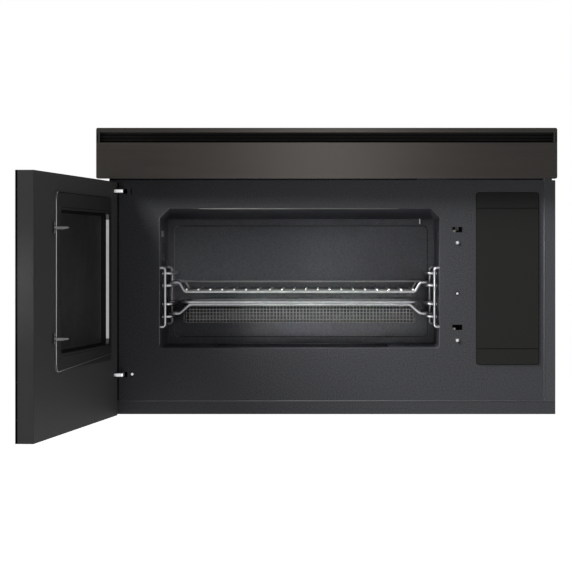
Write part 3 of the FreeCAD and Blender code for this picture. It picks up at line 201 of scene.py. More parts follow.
# Edges softened so that they catch the light: width by node
SOFT_EDGES = {
    "right_trim_strip": 0.6 * MM,
    "base_plate": 0.6 * MM,
    "vent_fascia": 1.2 * MM,
    "control_cover": 0.6 * MM,
    "door_skin": 0.8 * MM,
    "choke_cover": 1.0 * MM,
    "case_wrap": 0.6 * MM,
    "hinge_arms": 1.6 * MM,
    "latch_screws": 1.2 * MM,
}
SOFT_ANGLE = 40
SOFT_SEGMENTS = 2
WELD_REACH = 0.01 * MM

# How squarely a face looks one way to count as facing it, and how little to count as a side
FACING = 0.9
SIDEWAYS = 0.5

# The door as it stands in the frame, open by its hinge's whole range
door_joint = frame["joints"][0]
DOOR_TURN = math.radians(door_joint["range_deg"][1])
PIVOT = Vector(door_joint["pos_m"])
OPEN_DOOR = Matrix.Translation(PIVOT) @ Matrix.Rotation(-DOOR_TURN, 4, "Z") @ Matrix.Translation(-PIVOT)
SHUT_DOOR = OPEN_DOOR.inverted()
DOOR_FRONT = OPEN_DOOR.to_3x3() @ Vector((0, -1, 0))


# Materials

class Paint:
    """A node material with one principled shader, its textures laid in the part's frame."""

    def __init__(self, name, colour, metallic=0.0, roughness=0.5, specular=0.5):
        self.material = bpy.data.materials.new(name)
        self.material.use_nodes = True
        self.nodes = self.material.node_tree.nodes
        self.links = self.material.node_tree.links
        self.shader = self.nodes["Principled BSDF"]
        self.shader.inputs["Base Color"].default_value = (*colour, 1)
        self.shader.inputs["Metallic"].default_value = metallic
        self.shader.inputs["Roughness"].default_value = roughness
        self.shader.inputs["Specular IOR Level"].default_value = specular

    def place(self, scale=(1, 1, 1), turn=0.0):
        """Coordinates in the part's frame, turned about Z and stretched."""
        where = self.nodes.new("ShaderNodeTexCoord")
        mapping = self.nodes.new("ShaderNodeMapping")
        mapping.inputs["Scale"].default_value = scale
        mapping.inputs["Rotation"].default_value = (0, 0, turn)
        self.links.new(where.outputs["Object"], mapping.inputs["Vector"])
        return mapping.outputs["Vector"]

    def axis(self, vector, name):
        """One of a vector's three parts."""
        node = self.nodes.new("ShaderNodeSeparateXYZ")
        self.links.new(vector, node.inputs["Vector"])
        return node.outputs[name]

    def noise(self, vector, scale, detail=3.0, roughness=0.6):
        node = self.nodes.new("ShaderNodeTexNoise")
        node.inputs["Scale"].default_value = scale
        node.inputs["Detail"].default_value = detail
        node.inputs["Roughness"].default_value = roughness
        self.links.new(vector, node.inputs["Vector"])
        return node.outputs["Fac"]

    def waves(self, vector, scale, direction):
        node = self.nodes.new("ShaderNodeTexWave")
        node.bands_direction = direction
        node.inputs["Scale"].default_value = scale
        self.links.new(vector, node.inputs["Vector"])
        return node.outputs["Fac"]

    def math(self, operation, first, second=0.0):
        node = self.nodes.new("ShaderNodeMath")
        node.operation = operation
        for socket, value in zip(node.inputs, (first, second)):
            if isinstance(value, (int, float)):
                socket.default_value = value
            else:
                self.links.new(value, socket)
        return node.outputs[0]

    def colours(self, factor, stops):
        """The base colour from a factor, as (place, colour) stops."""
        ramp = self.nodes.new("ShaderNodeValToRGB")
        for element, (at, colour) in zip(ramp.color_ramp.elements, stops):
            element.position = at
            element.color = (*colour, 1)
        self.links.new(factor, ramp.inputs["Fac"])
        self.links.new(ramp.outputs["Color"], self.shader.inputs["Base Color"])

    def spread(self, factor, low, high, socket):
        """A factor spread over a range into one of the shader's sockets."""
        node = self.nodes.new("ShaderNodeMapRange")
        node.inputs["To Min"].default_value = low
        node.inputs["To Max"].default_value = high
        self.links.new(factor, node.inputs["Value"])
        self.links.new(node.outputs["Result"], self.shader.inputs[socket])

    def bump(self, factor, strength, depth):
        node = self.nodes.new("ShaderNodeBump")
        node.inputs["Strength"].default_value = strength
        node.inputs["Distance"].default_value = depth
        self.links.new(factor, node.inputs["Height"])
        self.links.new(node.outputs["Normal"], self.shader.inputs["Normal"])


def shades(colour, low, high):
    """A darker and a lighter tone of one colour, as ramp stops."""
    return [(0.3, [c * low for c in colour]), (0.7, [c * high for c in colour])]


def brushed(name, colour, roughness, contrast=0.18):
    """Brushed metal with its fine lines level, whichever way the panel faces."""
    paint = Paint(name, colour, 1.0, roughness)
    lines = paint.noise(paint.place(BRUSH_SCALE), 1.0, 4.0, 0.7)
    paint.colours(lines, shades(colour, 1 - contrast, 1 + contrast))
    paint.spread(lines, roughness - 0.05, roughness + 0.07, "Roughness")
    paint.bump(lines, 0.06, 0.1 * MM)
    return paint.material


def enamel(name, colour, roughness, specular, fleck):
    """Baked enamel: fine flecks and a faint orange peel."""
    paint = Paint(name, colour, 0.0, roughness, specular)
    place = paint.place()
    flecks = paint.noise(place, FLECK_SCALE, roughness=0.75)
    paint.colours(flecks, shades(colour, 1 - fleck, 1 + fleck))
    peel = paint.noise(place, PEEL_SCALE, 2.0, 0.5)
    paint.spread(peel, roughness - 0.05, roughness + 0.05, "Roughness")
    paint.bump(peel, 0.08, 0.2 * MM)
    return paint.material


def moulded(name, colour, roughness=0.55, specular=0.25):
    """Moulded plastic with a fine spark-eroded grain."""
    paint = Paint(name, colour, 0.0, roughness, specular)
    grain = paint.noise(paint.place(), GRAIN_SCALE)
    paint.colours(grain, shades(colour, 0.92, 1.08))
    paint.spread(grain, roughness - 0.06, roughness + 0.06, "Roughness")
    paint.bump(grain, 0.12, 0.15 * MM)
    return paint.material


def plated(name, colour, roughness):
    """Bright plating on wire or sheet, slightly uneven."""
    paint = Paint(name, colour, 1.0, roughness)
    cloud = paint.noise(paint.place(), CLOUD_SCALE)
    paint.colours(cloud, shades(colour, 0.93, 1.05))
    paint.spread(cloud, roughness * 0.8, roughness * 1.25, "Roughness")
    return paint.material


def glass(name, tint, roughness, clear, specular):
    """Tinted glass with a faint unevenness in its polish."""
    paint = Paint(name, tint, 0.0, roughness, specular)
    smear = paint.noise(paint.place(), SMEAR_SCALE)
    paint.colours(smear, shades(tint, 0.95, 1.05))
    paint.spread(smear, roughness * 0.8, roughness * 1.3, "Roughness")
    paint.shader.inputs["Transmission Weight"].default_value = clear
    return paint.material


def meshed(name, colour, hole, per_metre, turn=0.0, metallic=1.0):
    """Sheet with a fine grid of holes, dark where it is open."""
    paint = Paint(name, colour, metallic, 0.45, 0.3)
    place = paint.place(turn=turn)
    across = paint.waves(place, per_metre, "X")
    up = paint.waves(place, per_metre, "Z")
    along = paint.waves(place, per_metre, "Y")
    holes = paint.math("MULTIPLY", across, paint.math("MAXIMUM", up, along))
    paint.colours(holes, [(0.35, colour), (0.5, hole)])
    paint.bump(holes, 0.3, 0.4 * MM)
    return paint.material


def mesh_wire_painted_shade():
    """Drawn wire, bright on the basket's front wall and darkened further inside the basket as painted shade."""
    bright, dull = (0.19, 0.19, 0.19), (0.03, 0.03, 0.03)
    paint = Paint("mesh_wire_painted_shade", bright, 1.0, 0.4)
    place = paint.place()
    cloud = paint.math("MULTIPLY", paint.noise(place, CLOUD_SCALE), 0.01)
    back = paint.math("ADD", paint.axis(place, "Y"), cloud)
    depth = paint.math("SUBTRACT", back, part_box("basket_tray")[0].y)
    # painted shade: the wire darkens with its depth behind the basket's front
    paint.colours(depth, [(MESH_LIT_TO, bright), (MESH_SHADED_FROM, dull)])
    return paint.material


def door_sides():
    """Enamel of the door's sides, black along the edge of its front."""
    paint = Paint("door_side_enamel", DOOR_COLOUR, 0.0, 0.5, 0.0)
    place = paint.place()
    face = max(DOOR_FRONT.dot(v.co) for v in frame["nodes"]["door_skin"].data.vertices)
    along = paint.nodes.new("ShaderNodeVectorMath")
    along.operation = "DOT_PRODUCT"
    along.inputs[1].default_value = DOOR_FRONT
    paint.links.new(place, along.inputs[0])
    flecks = paint.math("MULTIPLY", paint.noise(place, FLECK_SCALE), DOOR_EDGE_WAVER)
    depth = paint.math("ADD", paint.math("SUBTRACT", face, along.outputs["Value"]), flecks)
    share = paint.math("DIVIDE", depth, DOOR_EDGE_REACH)
    band = DOOR_EDGE_BAND / DOOR_EDGE_REACH
    paint.colours(share, [(band, (0.002, 0.002, 0.002)), (band + 0.04, DOOR_COLOUR)])
    paint.spread(flecks, 0.48, 0.52, "Roughness")
    return paint.material


def arm_steel_painted_shade():
    """Bright steel of the hinge arms, with painted shade along their upper and lower edges."""
    bright, dark = (0.95, 0.95, 0.95), (0.03, 0.03, 0.03)
    paint = Paint("arm_steel_painted_shade", bright, 1.0, 0.3)
    place = paint.place()
    low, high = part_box("hinge_arms")
    arm_level = (high.z - low.z - ARM_FOOT_HEIGHT) / 2
    level = paint.math("ABSOLUTE", paint.math("SUBTRACT", paint.axis(place, "Z"), (low.z + high.z) / 2))
    off = paint.math("ABSOLUTE", paint.math("SUBTRACT", level, arm_level))
    cloud = paint.noise(place, CLOUD_SCALE)
    waver = paint.math("MULTIPLY", cloud, 0.1)
    share = paint.math("ADD", paint.math("DIVIDE", off, ARM_HEIGHT / 2), waver)
    # painted shade: the colour darkens towards each arm's upper and lower edge
    paint.colours(share, [(0.55, bright), (0.9, dark)])
    paint.spread(cloud, 0.24, 0.38, "Roughness")
    return paint.material


def circuit():
    """Lacquered board with pale tracks."""
    green, track = (0.03, 0.12, 0.05), (0.2, 0.35, 0.15)
    paint = Paint("circuit_board", green, 0.0, 0.35, 0.4)
    cell = paint.nodes.new("ShaderNodeTexVoronoi")
    cell.distance = "MANHATTAN"
    cell.feature = "DISTANCE_TO_EDGE"
    cell.inputs["Scale"].default_value = TRACK_SCALE
    paint.links.new(paint.place(), cell.inputs["Vector"])
    paint.colours(cell.outputs["Distance"], [(0.03, track), (0.09, green)])
    return paint.material


MATERIALS = {
    "dark_steel": brushed("dark_brushed_steel", (0.031, 0.0285, 0.026), 0.18),
    "speckled_enamel": enamel("speckled_enamel", (0.055, 0.0565, 0.0615), 0.5, 0.1, 0.5),
    "coated_steel": enamel("coated_steel", (0.055, 0.0565, 0.0615), 0.5, 0.1, 0.2),
    "cavity_enamel": enamel("cavity_enamel", (0.078, 0.0805, 0.092), 0.4, 0.12, 0.3),
    "door_enamel": enamel("door_enamel", DOOR_COLOUR, 0.55, 0.02, 0.12),
    "black_plastic": moulded("black_plastic", (0.018, 0.018, 0.018), 0.5, 0.05),
    "grey_plastic": moulded("grey_plastic", (0.024, 0.024, 0.023), 0.55, 0.03),
    "white_plastic": moulded("white_plastic", (0.62, 0.62, 0.61)),
    "carbon": moulded("carbon_granules", (0.01, 0.01, 0.01), 0.9, 0.1),
    "mesh_aluminium": meshed("mesh_aluminium", (0.5, 0.5, 0.5), (0.02, 0.02, 0.02), 60.0),
    "clear_glass": glass("clear_glass", (0.9, 0.92, 0.92), 0.15, 0.9, 0.2),
    "dark_glass": glass("dark_glass", (0.015, 0.015, 0.0153), 0.35, 0.0, 0.1),
    "floor_glass": enamel("floor_glass", (0.04, 0.041, 0.042), 0.25, 0.15, 0.06),
    "plain_steel": plated("plain_steel", (0.75, 0.75, 0.74), 0.3),
    "screen_steel": meshed("screen_steel", (0.012, 0.012, 0.012), (0.002, 0.002, 0.002), 110.0,
                           turn=DOOR_TURN, metallic=0.0),
    "chrome_wire": plated("chrome_wire", (0.26, 0.26, 0.267), 0.36),
    "heater_steel": plated("heater_steel", (0.2, 0.17, 0.15), 0.45),
    "circuit_board": circuit(),
}

# Paints of single nodes, faces and added pieces
REVEAL_PAINT = plated("reveal_steel", (0.38, 0.38, 0.38), 0.3)
MESH_PAINT = mesh_wire_painted_shade()
DOOR_SIDES = door_sides()
# Light grey for the latch catches, and as painted light on the bezels' faces, the window frame's sides and the
# cavity mouth's top bead
CATCH_AND_HIGHLIGHT_PAINT = moulded("catch_and_highlight_grey", (0.3, 0.3, 0.28))
# Dark plating as painted shade: on the reveal strip's bent ends and round the latch screws' heads
SHADE_PLATING = plated("painted_shade_plating", (0.06, 0.06, 0.06), 0.4)
# Plated bead on the window frame's free edge: painted highlight
RIM_HIGHLIGHT_PAINT = plated("rim_highlight_steel", (0.36, 0.36, 0.36), 0.3)
SUPPORT_PAINT = plated("support_chrome", (0.38, 0.38, 0.39), 0.34)
# Bright chrome on the rib ends: painted glint
TIP_GLINT_PAINT = plated("tip_glint_chrome", (0.85, 0.85, 0.85), 0.2)
# Light enamel on edge beads: painted highlight
EDGE_HIGHLIGHT_PAINT = enamel("edge_highlight_enamel", (0.22, 0.222, 0.23), 0.4, 0.2, 0.1)
# Black for dark joints, and as painted shade on the hinge strip, grooves, window border and frame's upper edge
JOINT_AND_SHADE_PAINT = moulded("joint_and_shade_black", (0.006, 0.006, 0.006), 0.8, 0.02)
SCREW_PAINT = plated("screw_steel", (0.5, 0.5, 0.5), 0.4)
NODE_PAINTS = {
    "vent_grille": moulded("grille_black", (0.03, 0.03, 0.029), 0.6, 0.04),
    "latch_bezels": MATERIALS["door_enamel"],
    "latch_screws": SCREW_PAINT,
    "latch_slide": moulded("hook_white", (0.85, 0.85, 0.84)),
    # the trim strip in a lighter copy of the front's enamel: painted light
    "right_trim_strip": enamel("trim_enamel_painted_light", (0.07, 0.072, 0.0775), 0.5, 0.1, 0.4),
    "hinge_arms": arm_steel_painted_shade(),
    "rack_support_left": SUPPORT_PAINT,
    "rack_support_right": SUPPORT_PAINT,
}


def paint_nodes():
    """Every CAD node in the material of its slot, some in a paint of their own."""
    for part in frame["record"]["subparts"]:
        data = frame["nodes"][part["node"]].data
        data.materials.clear()
        data.materials.append(NODE_PAINTS.get(part["node"], MATERIALS[part["material_slot"]]))


def repaint(data, paint, chosen):
    """A second paint on the faces that a test picks out."""
    data.materials.append(paint)
    for face in data.polygons:
        face.material_index = int(chosen(face))


def paint_door_sides():
    """Brushed steel on the door's front alone, enamel on the rest of its skin."""
    repaint(frame["nodes"]["door_skin"].data, DOOR_SIDES,
            lambda face: face.normal.dot(DOOR_FRONT) <= FACING)


def paint_bezel_highlights():
    """A light face on the bezels round the hooks: a painted highlight."""
    repaint(frame["nodes"]["latch_bezels"].data, CATCH_AND_HIGHLIGHT_PAINT,
            lambda face: face.normal.dot(-DOOR_FRONT) > FACING)


def paint_frame_sides_light():
    """A lighter tone on the outer sides of the window frame: painted light on sides that the door's panel shades.
    """
    low, high = window_opening()

    def outer_side(face):
        at = SHUT_DOOR @ face.center
        outside = max(low.x - at.x, at.x - high.x, low.z - at.z, at.z - high.z) > FRAME_MARGIN
        return outside and abs((SHUT_DOOR.to_3x3() @ face.normal).y) < SIDEWAYS

    repaint(frame["nodes"]["choke_cover"].data, CATCH_AND_HIGHLIGHT_PAINT, outer_side)


def paint_cover_groove_shade():
    """Black on the faces in the two grooves across the control cover: painted shade."""
    low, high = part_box("control_cover")
    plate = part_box("front_plate")[0].y

    def in_groove(face):
        at = face.center
        from_edge = min(at.x - low.x, high.x - at.x, at.z - low.z, high.z - at.z)
        return low.y + COVER_EDGE < at.y < plate - COVER_EDGE and from_edge >= COVER_CORNER

    repaint(frame["nodes"]["control_cover"].data, JOINT_AND_SHADE_PAINT, in_groove)


def soften_edges():
    for name, width in SOFT_EDGES.items():
        node = frame["nodes"][name]
        weld = node.modifiers.new("weld", "WELD")
        weld.merge_threshold = WELD_REACH
        bevel = node.modifiers.new("bevel", "BEVEL")
        bevel.width = width
        bevel.segments = SOFT_SEGMENTS
        bevel.limit_method = "ANGLE"
        bevel.angle_limit = math.radians(SOFT_ANGLE)
        bevel.harden_normals = True


# Mesh helpers

def add_piece(name, bm, body, paint):
    """A finished mesh as a piece that rides on a CAD body."""
    bmesh.ops.recalc_face_normals(bm, faces=bm.faces)
    data = bpy.data.meshes.new(name)
    bm.to_mesh(data)
    bm.free()
    data.materials.append(paint)
    piece = bpy.data.objects.new(name, data)
    scene.collection.objects.link(piece)
    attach(piece, body)
    return piece


def join(bm, a, b):
    """Faces between two rings of as many points."""
    count = len(a)
    for k in range(count):
        bm.faces.new((a[k], a[(k + 1) % count], b[(k + 1) % count], b[k]))


def tube(bm, points, radius, closed=False, sides=WIRE_SIDES):
    """A wire of even thickness through a line of points."""
    points = [Vector(p) for p in points]
    count = len(points)
    rings = []
    side = None
    for i, at in enumerate(points):
        before = points[i - 1] if closed or i else at
        after = points[(i + 1) % count] if closed or i < count - 1 else at
        heading = (after - before).normalized()
        if side is None:
            side = heading.orthogonal()
        side = (side - heading * side.dot(heading)).normalized()
        other = heading.cross(side)
        ring = []
        for k in range(sides):
            angle = 2 * math.pi * k / sides
            ring.append(bm.verts.new(at + (side * math.cos(angle) + other * math.sin(angle)) * radius))
        rings.append(ring)
    for a, b in zip(rings, rings[1:]):
        join(bm, a, b)
    if closed:
        join(bm, rings[-1], rings[0])
    else:
        bm.faces.new(reversed(rings[0]))
        bm.faces.new(rings[-1])


def smooth(piece):
    for face in piece.data.polygons:
        face.use_smooth = True


def line_piece(name, points, radius, body, paint, closed=False):
    """A round bead along a line of points."""
    bm = bmesh.new()
    tube(bm, points, radius, closed, BEAD_SIDES)
    smooth(add_piece(name, bm, body, paint))


def box_piece(name, boxes, body, paint):
    """Plain boxes as one piece, each given by its spans in x, y and z."""
    bm = bmesh.new()
    for spans in boxes:
        low, high = (Vector([pick(span) for span in spans]) for pick in (min, max))
        form = Matrix.Translation((low + high) / 2) @ Matrix.Diagonal((*(high - low), 1))
        bmesh.ops.create_cube(bm, size=1.0, matrix=form)
    add_piece(name, bm, body, paint)


def rounded_rectangle(low, high, radius, steps=5):
    """Points round a rectangle with rounded corners: upper right, upper left, lower left, lower right."""
    (left, bottom), (right, top) = low, high
    middles = ((right - radius, top - radius), (left + radius, top - radius),
               (left + radius, bottom + radius), (right - radius, bottom + radius))
    points = []
    for quarter, (x, y) in enumerate(middles):
        for k in range(steps + 1):
            angle = math.pi / 2 * (quarter + k / steps)
            points.append((x + radius * math.cos(angle), y + radius * math.sin(angle)))
    return points


# Basket and rack

def basket_mesh():
    """Fine woven wire in the form of the basket's tray."""
    low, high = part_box("basket_tray")
    low += Vector((MESH_WIRE,) * 3)
    high -= Vector((MESH_WIRE,) * 3)
    bm = bmesh.new()

    def inset(at, start, end):
        """How far the tray's rounded corner draws a wire in from its wall."""
        past = max(start + TRAY_CORNER - at, at - end + TRAY_CORNER, 0)
        return TRAY_CORNER - math.sqrt(max(TRAY_CORNER ** 2 - past ** 2, 0))

    def hoop(across, run, lift):
        """The points of one wire that goes down a wall, over the floor and up again."""
        start, end = run
        floor = low.z + lift
        bend, part = MESH_BEND, MESH_BEND * BEND_MIDDLE
        line = [(start, high.z), (start, floor + bend), (start + part, floor + part), (start + bend, floor),
                (end - bend, floor), (end - part, floor + part), (end, floor + bend), (end, high.z)]
        return [across(a, z) for a, z in line]

    for i in range(1, round((high.x - low.x) / MESH_PITCH)):
        x = low.x + i * MESH_PITCH
        draw = inset(x, low.x, high.x)
        tube(bm, hoop(lambda y, z: (x, y, z), (low.y + draw, high.y - draw), 0.0), MESH_WIRE)
    for i in range(1, round((high.y - low.y) / MESH_PITCH)):
        y = low.y + i * MESH_PITCH
        draw = inset(y, low.y, high.y)
        tube(bm, hoop(lambda x, z: (x, y, z), (low.x + draw, high.x - draw), MESH_WIRE), MESH_WIRE)
    loop = rounded_rectangle(low.xy, high.xy, TRAY_CORNER)
    for i in range(1, round((high.z - low.z) / MESH_PITCH) + 1):
        tube(bm, [(x, y, low.z + i * MESH_PITCH) for x, y in loop], MESH_WIRE, True)
    piece = add_piece("basket_woven_mesh", bm, "basket", MESH_PAINT)
    smooth(piece)
    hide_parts("basket_tray")


def rack_tips():
    """The domed ends of the rack's ribs over its front wire, in a bright paint that is a painted glint."""
    ribs = [RIB_X[0] + (RIB_X[1] - RIB_X[0]) * i / (RIB_COUNT - 1) for i in range(RIB_COUNT)]
    points = [v.co for v in frame["nodes"]["wire_rack"].data.vertices]
    middle_rib = ribs[RIB_COUNT // 2]
    end = min(p.y for p in points if abs(p.x - middle_rib) < RIB_REACH and p.z > RIB_LEVEL)
    bm = bmesh.new()
    for x in ribs:
        for share, height in RIB_STEPS:
            tip = (x, end - RIB_DOME * height, RIB_LEVEL)
            tube(bm, [(x, end, RIB_LEVEL), tip], RIB_RADIUS * share, sides=DOME_SIDES)
    add_piece("rack_rib_tips", bm, "rack", TIP_GLINT_PAINT)


# Door trim

def door_box(name):
    """The low and high corner of a door node with the door shut."""
    corners = [SHUT_DOOR @ v.co for v in frame["nodes"][name].data.vertices]
    return [Vector([pick(c[i] for c in corners) for i in range(3)]) for pick in (min, max)]


def window_opening():
    """The window recess with the door shut: its low and high corner at the glass."""
    low, high = door_box("inner_glass")
    return (Vector((low.x + GLASS_LAP, high.y, low.z + GLASS_LAP)),
            Vector((high.x - GLASS_LAP, high.y, high.z - GLASS_LAP)))


def reveal_strip():
    """The bright strip on the recess wall that faces out when the door stands open, with painted shade on its bent
    ends.
    """
    low, high = window_opening()
    rear, front = low.y + REVEAL_REAR, low.y + REVEAL_REAR + REVEAL_DEPTH
    line = []
    for k in range(REVEAL_STEPS + 1):
        angle = math.radians(REVEAL_FROM - REVEAL_TURN * k / REVEAL_STEPS)
        line.append((low.x + REVEAL_CORNER * (1 + math.cos(angle)),
                     low.z + REVEAL_CORNER * (1 + math.sin(angle))))
    line += [(x, low.z + high.z - z) for x, z in reversed(line)]
    bm = bmesh.new()
    rings = []
    for x, z in line:
        inner = x + REVEAL_THICKNESS
        ring = [(x, rear), (inner + REVEAL_LEAN, rear), (inner, front), (x, front)]
        rings.append([bm.verts.new(OPEN_DOOR @ Vector((a, y, z))) for a, y in ring])
    for a, b in zip(rings, rings[1:]):
        join(bm, a, b)
    bm.faces.new(rings[0])
    bm.faces.new(rings[-1])
    piece = add_piece("window_reveal_strip", bm, "door", REVEAL_PAINT)
    middle, straight = (low.z + high.z) / 2, (high.z - low.z) / 2 - REVEAL_CORNER
    # painted shade on the strip's bent ends
    repaint(piece.data, SHADE_PLATING, lambda face: abs(face.center.z - middle) > straight)


def window_border_and_shade():
    """The black border on the window's glass: a narrow printed band, widened on the hinge side with painted shade.
    """
    low, high = window_opening()
    outer = [(low.x, low.z), (high.x, low.z), (high.x, high.z), (low.x, high.z)]
    left, right = low.x + BORDER_HINGE_SHADE, high.x - BORDER_NARROW
    bottom, top = low.z + BORDER_NARROW, high.z - BORDER_NARROW
    inner = [(left, bottom), (right, bottom), (right, top), (left, top)]
    near, far = (low.y + depth for depth in BORDER_LAYER)
    bm = bmesh.new()
    loops = [[bm.verts.new(OPEN_DOOR @ Vector((x, y, z))) for x, z in line]
             for line, y in ((outer, near), (outer, far), (inner, far), (inner, near))]
    for a, b in zip(loops, loops[1:] + loops[:1]):
        join(bm, a, b)
    add_piece("window_border_and_shade", bm, "door", JOINT_AND_SHADE_PAINT)


def window_rim():
    """The light edge of the window frame as a plated bead that is a painted highlight, its dark upper edge as
    painted shade, and painted shade in the fine groove round its opening.
    """
    low, high = door_box("choke_cover")
    loop = rounded_rectangle((low.x, low.z), (high.x, high.z), RIM_CORNER)
    free_side = [loop[13]] + loop[18:] + loop[:6]

    def bead(name, line, radius, paint, closed=False):
        """A bead that stands a little proud of the frame's face."""
        y = high.y + RIM_PROUD - radius
        points = [OPEN_DOOR @ Vector((x, y, z)) for x, z in line]
        line_piece(name, points, radius, "door", paint, closed)

    bead("window_rim_edge", free_side, RIM_BEAD, RIM_HIGHLIGHT_PAINT)
    bead("window_frame_shade", loop[5:10], GROOVE_BEAD, JOINT_AND_SHADE_PAINT)
    start, end = window_opening()
    out = Vector((GROOVE_OFFSET, 0, GROOVE_OFFSET))
    start, end = start - out, end + out
    groove = rounded_rectangle((start.x, start.z), (end.x, end.z), REVEAL_CORNER)
    bead("window_groove_shade", groove, GROOVE_BEAD, JOINT_AND_SHADE_PAINT, True)


# Case trim

def cavity_mouth():
    """The rolled edge of the cavity's mouth and a bead along its top, both in light paints as painted highlights.
    """
    low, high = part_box("cavity_liner")
    left = low.x + LINER_WALL
    floor, top = low.z + LINER_WALL, high.z - LINER_WALL
    across, down = MOUTH_CHAMFER
    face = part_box("front_plate")[0].y - MOUTH_PROUD
    edge = [(left, floor + MOUTH_FOOT), (left, top - down), (left + across, top)]
    line_piece("cavity_mouth_edge", [(x, face + MOUTH_BEAD, z) for x, z in edge],
               MOUTH_BEAD, "case", EDGE_HIGHLIGHT_PAINT)
    line_piece("cavity_mouth_lip_highlight", [(x, face + LIP_HIGHLIGHT_BEAD, top) for x in LIP_HIGHLIGHT_X],
               LIP_HIGHLIGHT_BEAD, "case", CATCH_AND_HIGHLIGHT_PAINT)


def back_panel_lines():
    """The pressed edge of the panel in the back wall: light on the left, in shade on the other sides."""
    low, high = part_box("cavity_liner")
    inset = LINER_WALL + PANEL_INSET
    top = high.z - LINER_WALL - PANEL_DROP
    loop = rounded_rectangle((low.x + inset, low.z + inset), (high.x - inset, top), PANEL_CORNER)
    points = [(x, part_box("cavity_back")[0].y, z) for x, z in loop]
    line_piece("back_panel_edge", points[6:18], PANEL_BEAD, "case", EDGE_HIGHLIGHT_PAINT)
    line_piece("back_panel_shade", points[17:] + points[:7], PANEL_BEAD, "case", JOINT_AND_SHADE_PAINT)


def side_highlight_patch():
    """A pale patch on the cavity's left wall: a painted highlight."""
    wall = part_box("cavity_liner")[0].x + LINER_WALL
    spans = ((wall, wall + SIDE_PATCH_DEPTH), SIDE_PATCH_Y, SIDE_PATCH_Z)
    box_piece("cavity_side_highlight", [spans], "case", MATERIALS["white_plastic"])


def front_seams():
    """The folded edges of the trim strip and of the base, as light beads that are painted highlights."""
    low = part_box("right_trim_strip")[0]
    line_piece("trim_seam_edge", [(low.x, low.y, low.z), (low.x, low.y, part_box("front_plate")[1].z)],
               SEAM_BEAD, "case", EDGE_HIGHLIGHT_PAINT)
    low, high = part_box("base_plate")
    line_piece("base_seam_edge", [(low.x, low.y, high.z), (high.x, low.y, high.z)],
               SEAM_BEAD, "case", EDGE_HIGHLIGHT_PAINT)


def dark_joints():
    """The dark joints of the front round the control cover and at the vent slot's ends, and a dark strip of
    painted shade along the hinges.
    """
    low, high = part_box("front_plate")
    spans = (HINGE_SHADE_X, (low.y - JOINT_DEPTH, low.y), (low.z, high.z - HINGE_SHADE_DROP))
    box_piece("hinge_gap_shade", [spans], "case", JOINT_AND_SHADE_PAINT)
    cover_low, cover_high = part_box("control_cover")
    loop = rounded_rectangle((cover_low.x, cover_low.z), (cover_high.x, cover_high.z), COVER_CORNER)
    line_piece("cover_joint", [(x, low.y, z) for x, z in loop],
               COVER_JOINT, "case", JOINT_AND_SHADE_PAINT, True)
    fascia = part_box("vent_fascia")[0].y
    face = (fascia - JOINT_DEPTH, fascia)
    ends = [([side * x for x in SLOT_END_X], face, SLOT_END_Z) for side in (-1, 1)]
    box_piece("vent_slot_ends", ends, "case", JOINT_AND_SHADE_PAINT)


def cam_rivet():
    """The bright rivet in the lower cam slot, in a dark ring."""
    x, z = RIVET_PLACE
    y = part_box("front_plate")[0].y
    for name, radius, height, slot, paint in (
            ("cam_rivet", RIVET_RADIUS, RIVET_HEIGHT, "plain_steel", MATERIALS["plain_steel"]),
            ("cam_rivet_ring", RIVET_RING, RIVET_HEIGHT / 4, "black_plastic", JOINT_AND_SHADE_PAINT)):
        bm = bmesh.new()
        tube(bm, [(x, y, z), (x, y - height, z)], radius, sides=RIVET_SIDES)
        add_piece(name, bm, "case", paint)


def latch_catches():
    """The light plastic catches seen in the lower left of the latch slots."""
    low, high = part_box("latch_board")
    middle = (low.x + high.x) / 2
    for i, z in enumerate((low.z + BOARD_END, high.z - BOARD_END)):
        places = ((middle, CATCH_X), (low.y, CATCH_DEPTH), (z, CATCH_Z))
        spans = [[start + offset for offset in span] for start, span in places]
        box_piece("latch_catch_%d" % i, [spans], "case", CATCH_AND_HIGHLIGHT_PAINT)


def latch_screw_rim_shade():
    """Dark rings round the bright heads of the outer latch screws, as painted shade."""
    low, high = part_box("latch_screws")
    x = (low.x + high.x) / 2
    y = low.y + LATCH_RIM_SUNK
    turns = [math.tau * i / LATCH_RIM_STEPS for i in range(LATCH_RIM_STEPS)]
    bm = bmesh.new()
    for z in (low.z + LATCH_HEAD, high.z - LATCH_HEAD):
        ring = [(x + LATCH_RIM * math.cos(turn), y, z + LATCH_RIM * math.sin(turn)) for turn in turns]
        tube(bm, ring, LATCH_RIM_BEAD, True)
    add_piece("latch_screw_rim_shade", bm, "case", SHADE_PLATING)


def case_screws():
    """Sheet-metal screws on both sides of the case."""
    low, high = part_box("case_wrap")
    for side, wall, out in (("left", low.x, -1), ("right", high.x, 1)):
        bm = bmesh.new()
        for y in SCREW_Y:
            for z in SCREW_Z:
                for share, height in SCREW_STEPS:
                    tip = wall + out * SCREW_HEIGHT * height
                    tube(bm, [(wall, y, z), (tip, y, z)], SCREW_RADIUS * share, sides=SCREW_SIDES)
        add_piece("case_screws_" + side, bm, "case", SCREW_PAINT)


# Floor, light and camera

def white_to_eye(tree, strength_socket, plain_strength):
    """White for what the camera, a mirror or a glass sees, plain light for the rest."""
    nodes, links = tree.nodes, tree.links
    path = nodes.new("ShaderNodeLightPath")
    seen = path.outputs["Is Camera Ray"]
    for ray in ("Is Glossy Ray", "Is Transmission Ray"):
        either = nodes.new("ShaderNodeMath")
        either.operation = "MAXIMUM"
        links.new(seen, either.inputs[0])
        links.new(path.outputs[ray], either.inputs[1])
        seen = either.outputs[0]
    strength = nodes.new("ShaderNodeMapRange")
    strength.inputs["To Min"].default_value = plain_strength
    strength.inputs["To Max"].default_value = 1.0
    links.new(seen, strength.inputs["Value"])
    links.new(strength.outputs["Result"], strength_socket)


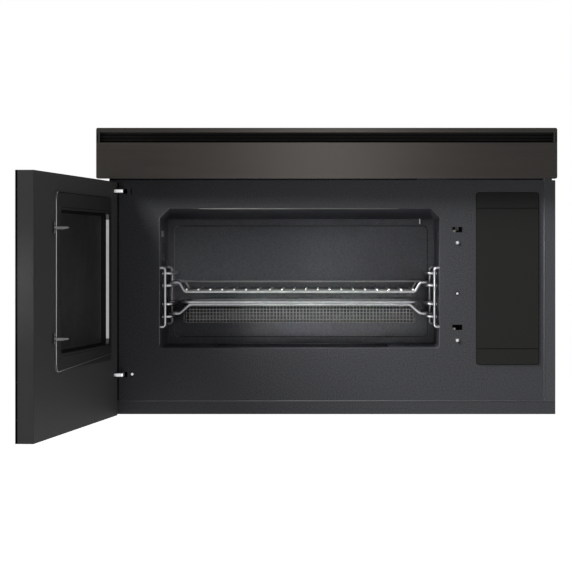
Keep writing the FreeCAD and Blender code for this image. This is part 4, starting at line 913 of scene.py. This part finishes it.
def make_world():
    world = bpy.data.worlds.new("studio")
    scene.world = world
    world.use_nodes = True
    background = world.node_tree.nodes["Background"]
    background.inputs["Color"].default_value = (1, 1, 1, 1)
    white_to_eye(world.node_tree, background.inputs["Strength"], AMBIENT)


def make_floor():
    half = FLOOR_SIZE / 2
    bm = bmesh.new()
    corners = [(-half, -half), (half, -half), (half, half), (-half, half)]
    bm.faces.new([bm.verts.new((x, y, FLOOR_LEVEL)) for x, y in corners])
    data = bpy.data.meshes.new("studio_floor")
    bm.to_mesh(data)
    bm.free()
    floor = bpy.data.objects.new("studio_floor", data)
    scene.collection.objects.link(floor)
    paint = Paint("studio_floor", (0.5, 0.5, 0.5), 0.0, 0.9, 0.0)
    paint.shader.inputs["Emission Color"].default_value = (1, 1, 1, 1)
    white_to_eye(paint.material.node_tree, paint.shader.inputs["Emission Strength"], 0.0)
    data.materials.append(paint.material)


def make_lamps():
    """Soft lamps that each face a point, their light held to a cone."""
    for name, (place, aim, size, power, spread) in LAMPS.items():
        data = bpy.data.lights.new(name, "AREA")
        data.shape = "RECTANGLE"
        data.size, data.size_y = size
        data.energy = power
        data.spread = math.radians(spread)
        light = bpy.data.objects.new(name, data)
        light.location = place
        light.rotation_euler = (Vector(aim) - Vector(place)).to_track_quat("-Z", "Y").to_euler()
        scene.collection.objects.link(light)


def make_camera():
    data = bpy.data.cameras.new("camera")
    data.lens = CAMERA_LENS
    data.shift_x, data.shift_y = CAMERA_SHIFT
    data.clip_end = CAMERA_FAR
    camera = bpy.data.objects.new("camera", data)
    camera.location = CAMERA_PLACE
    camera.rotation_euler = (math.pi / 2, 0, 0)
    scene.collection.objects.link(camera)
    scene.camera = camera


paint_nodes()
paint_door_sides()
paint_frame_sides_light()
paint_bezel_highlights()
paint_cover_groove_shade()
soften_edges()
basket_mesh()
rack_tips()
reveal_strip()
window_border_and_shade()
window_rim()
cavity_mouth()
back_panel_lines()
side_highlight_patch()
front_seams()
dark_joints()
cam_rivet()
latch_catches()
latch_screw_rim_shade()
case_screws()
make_world()
make_floor()
make_lamps()
make_camera()
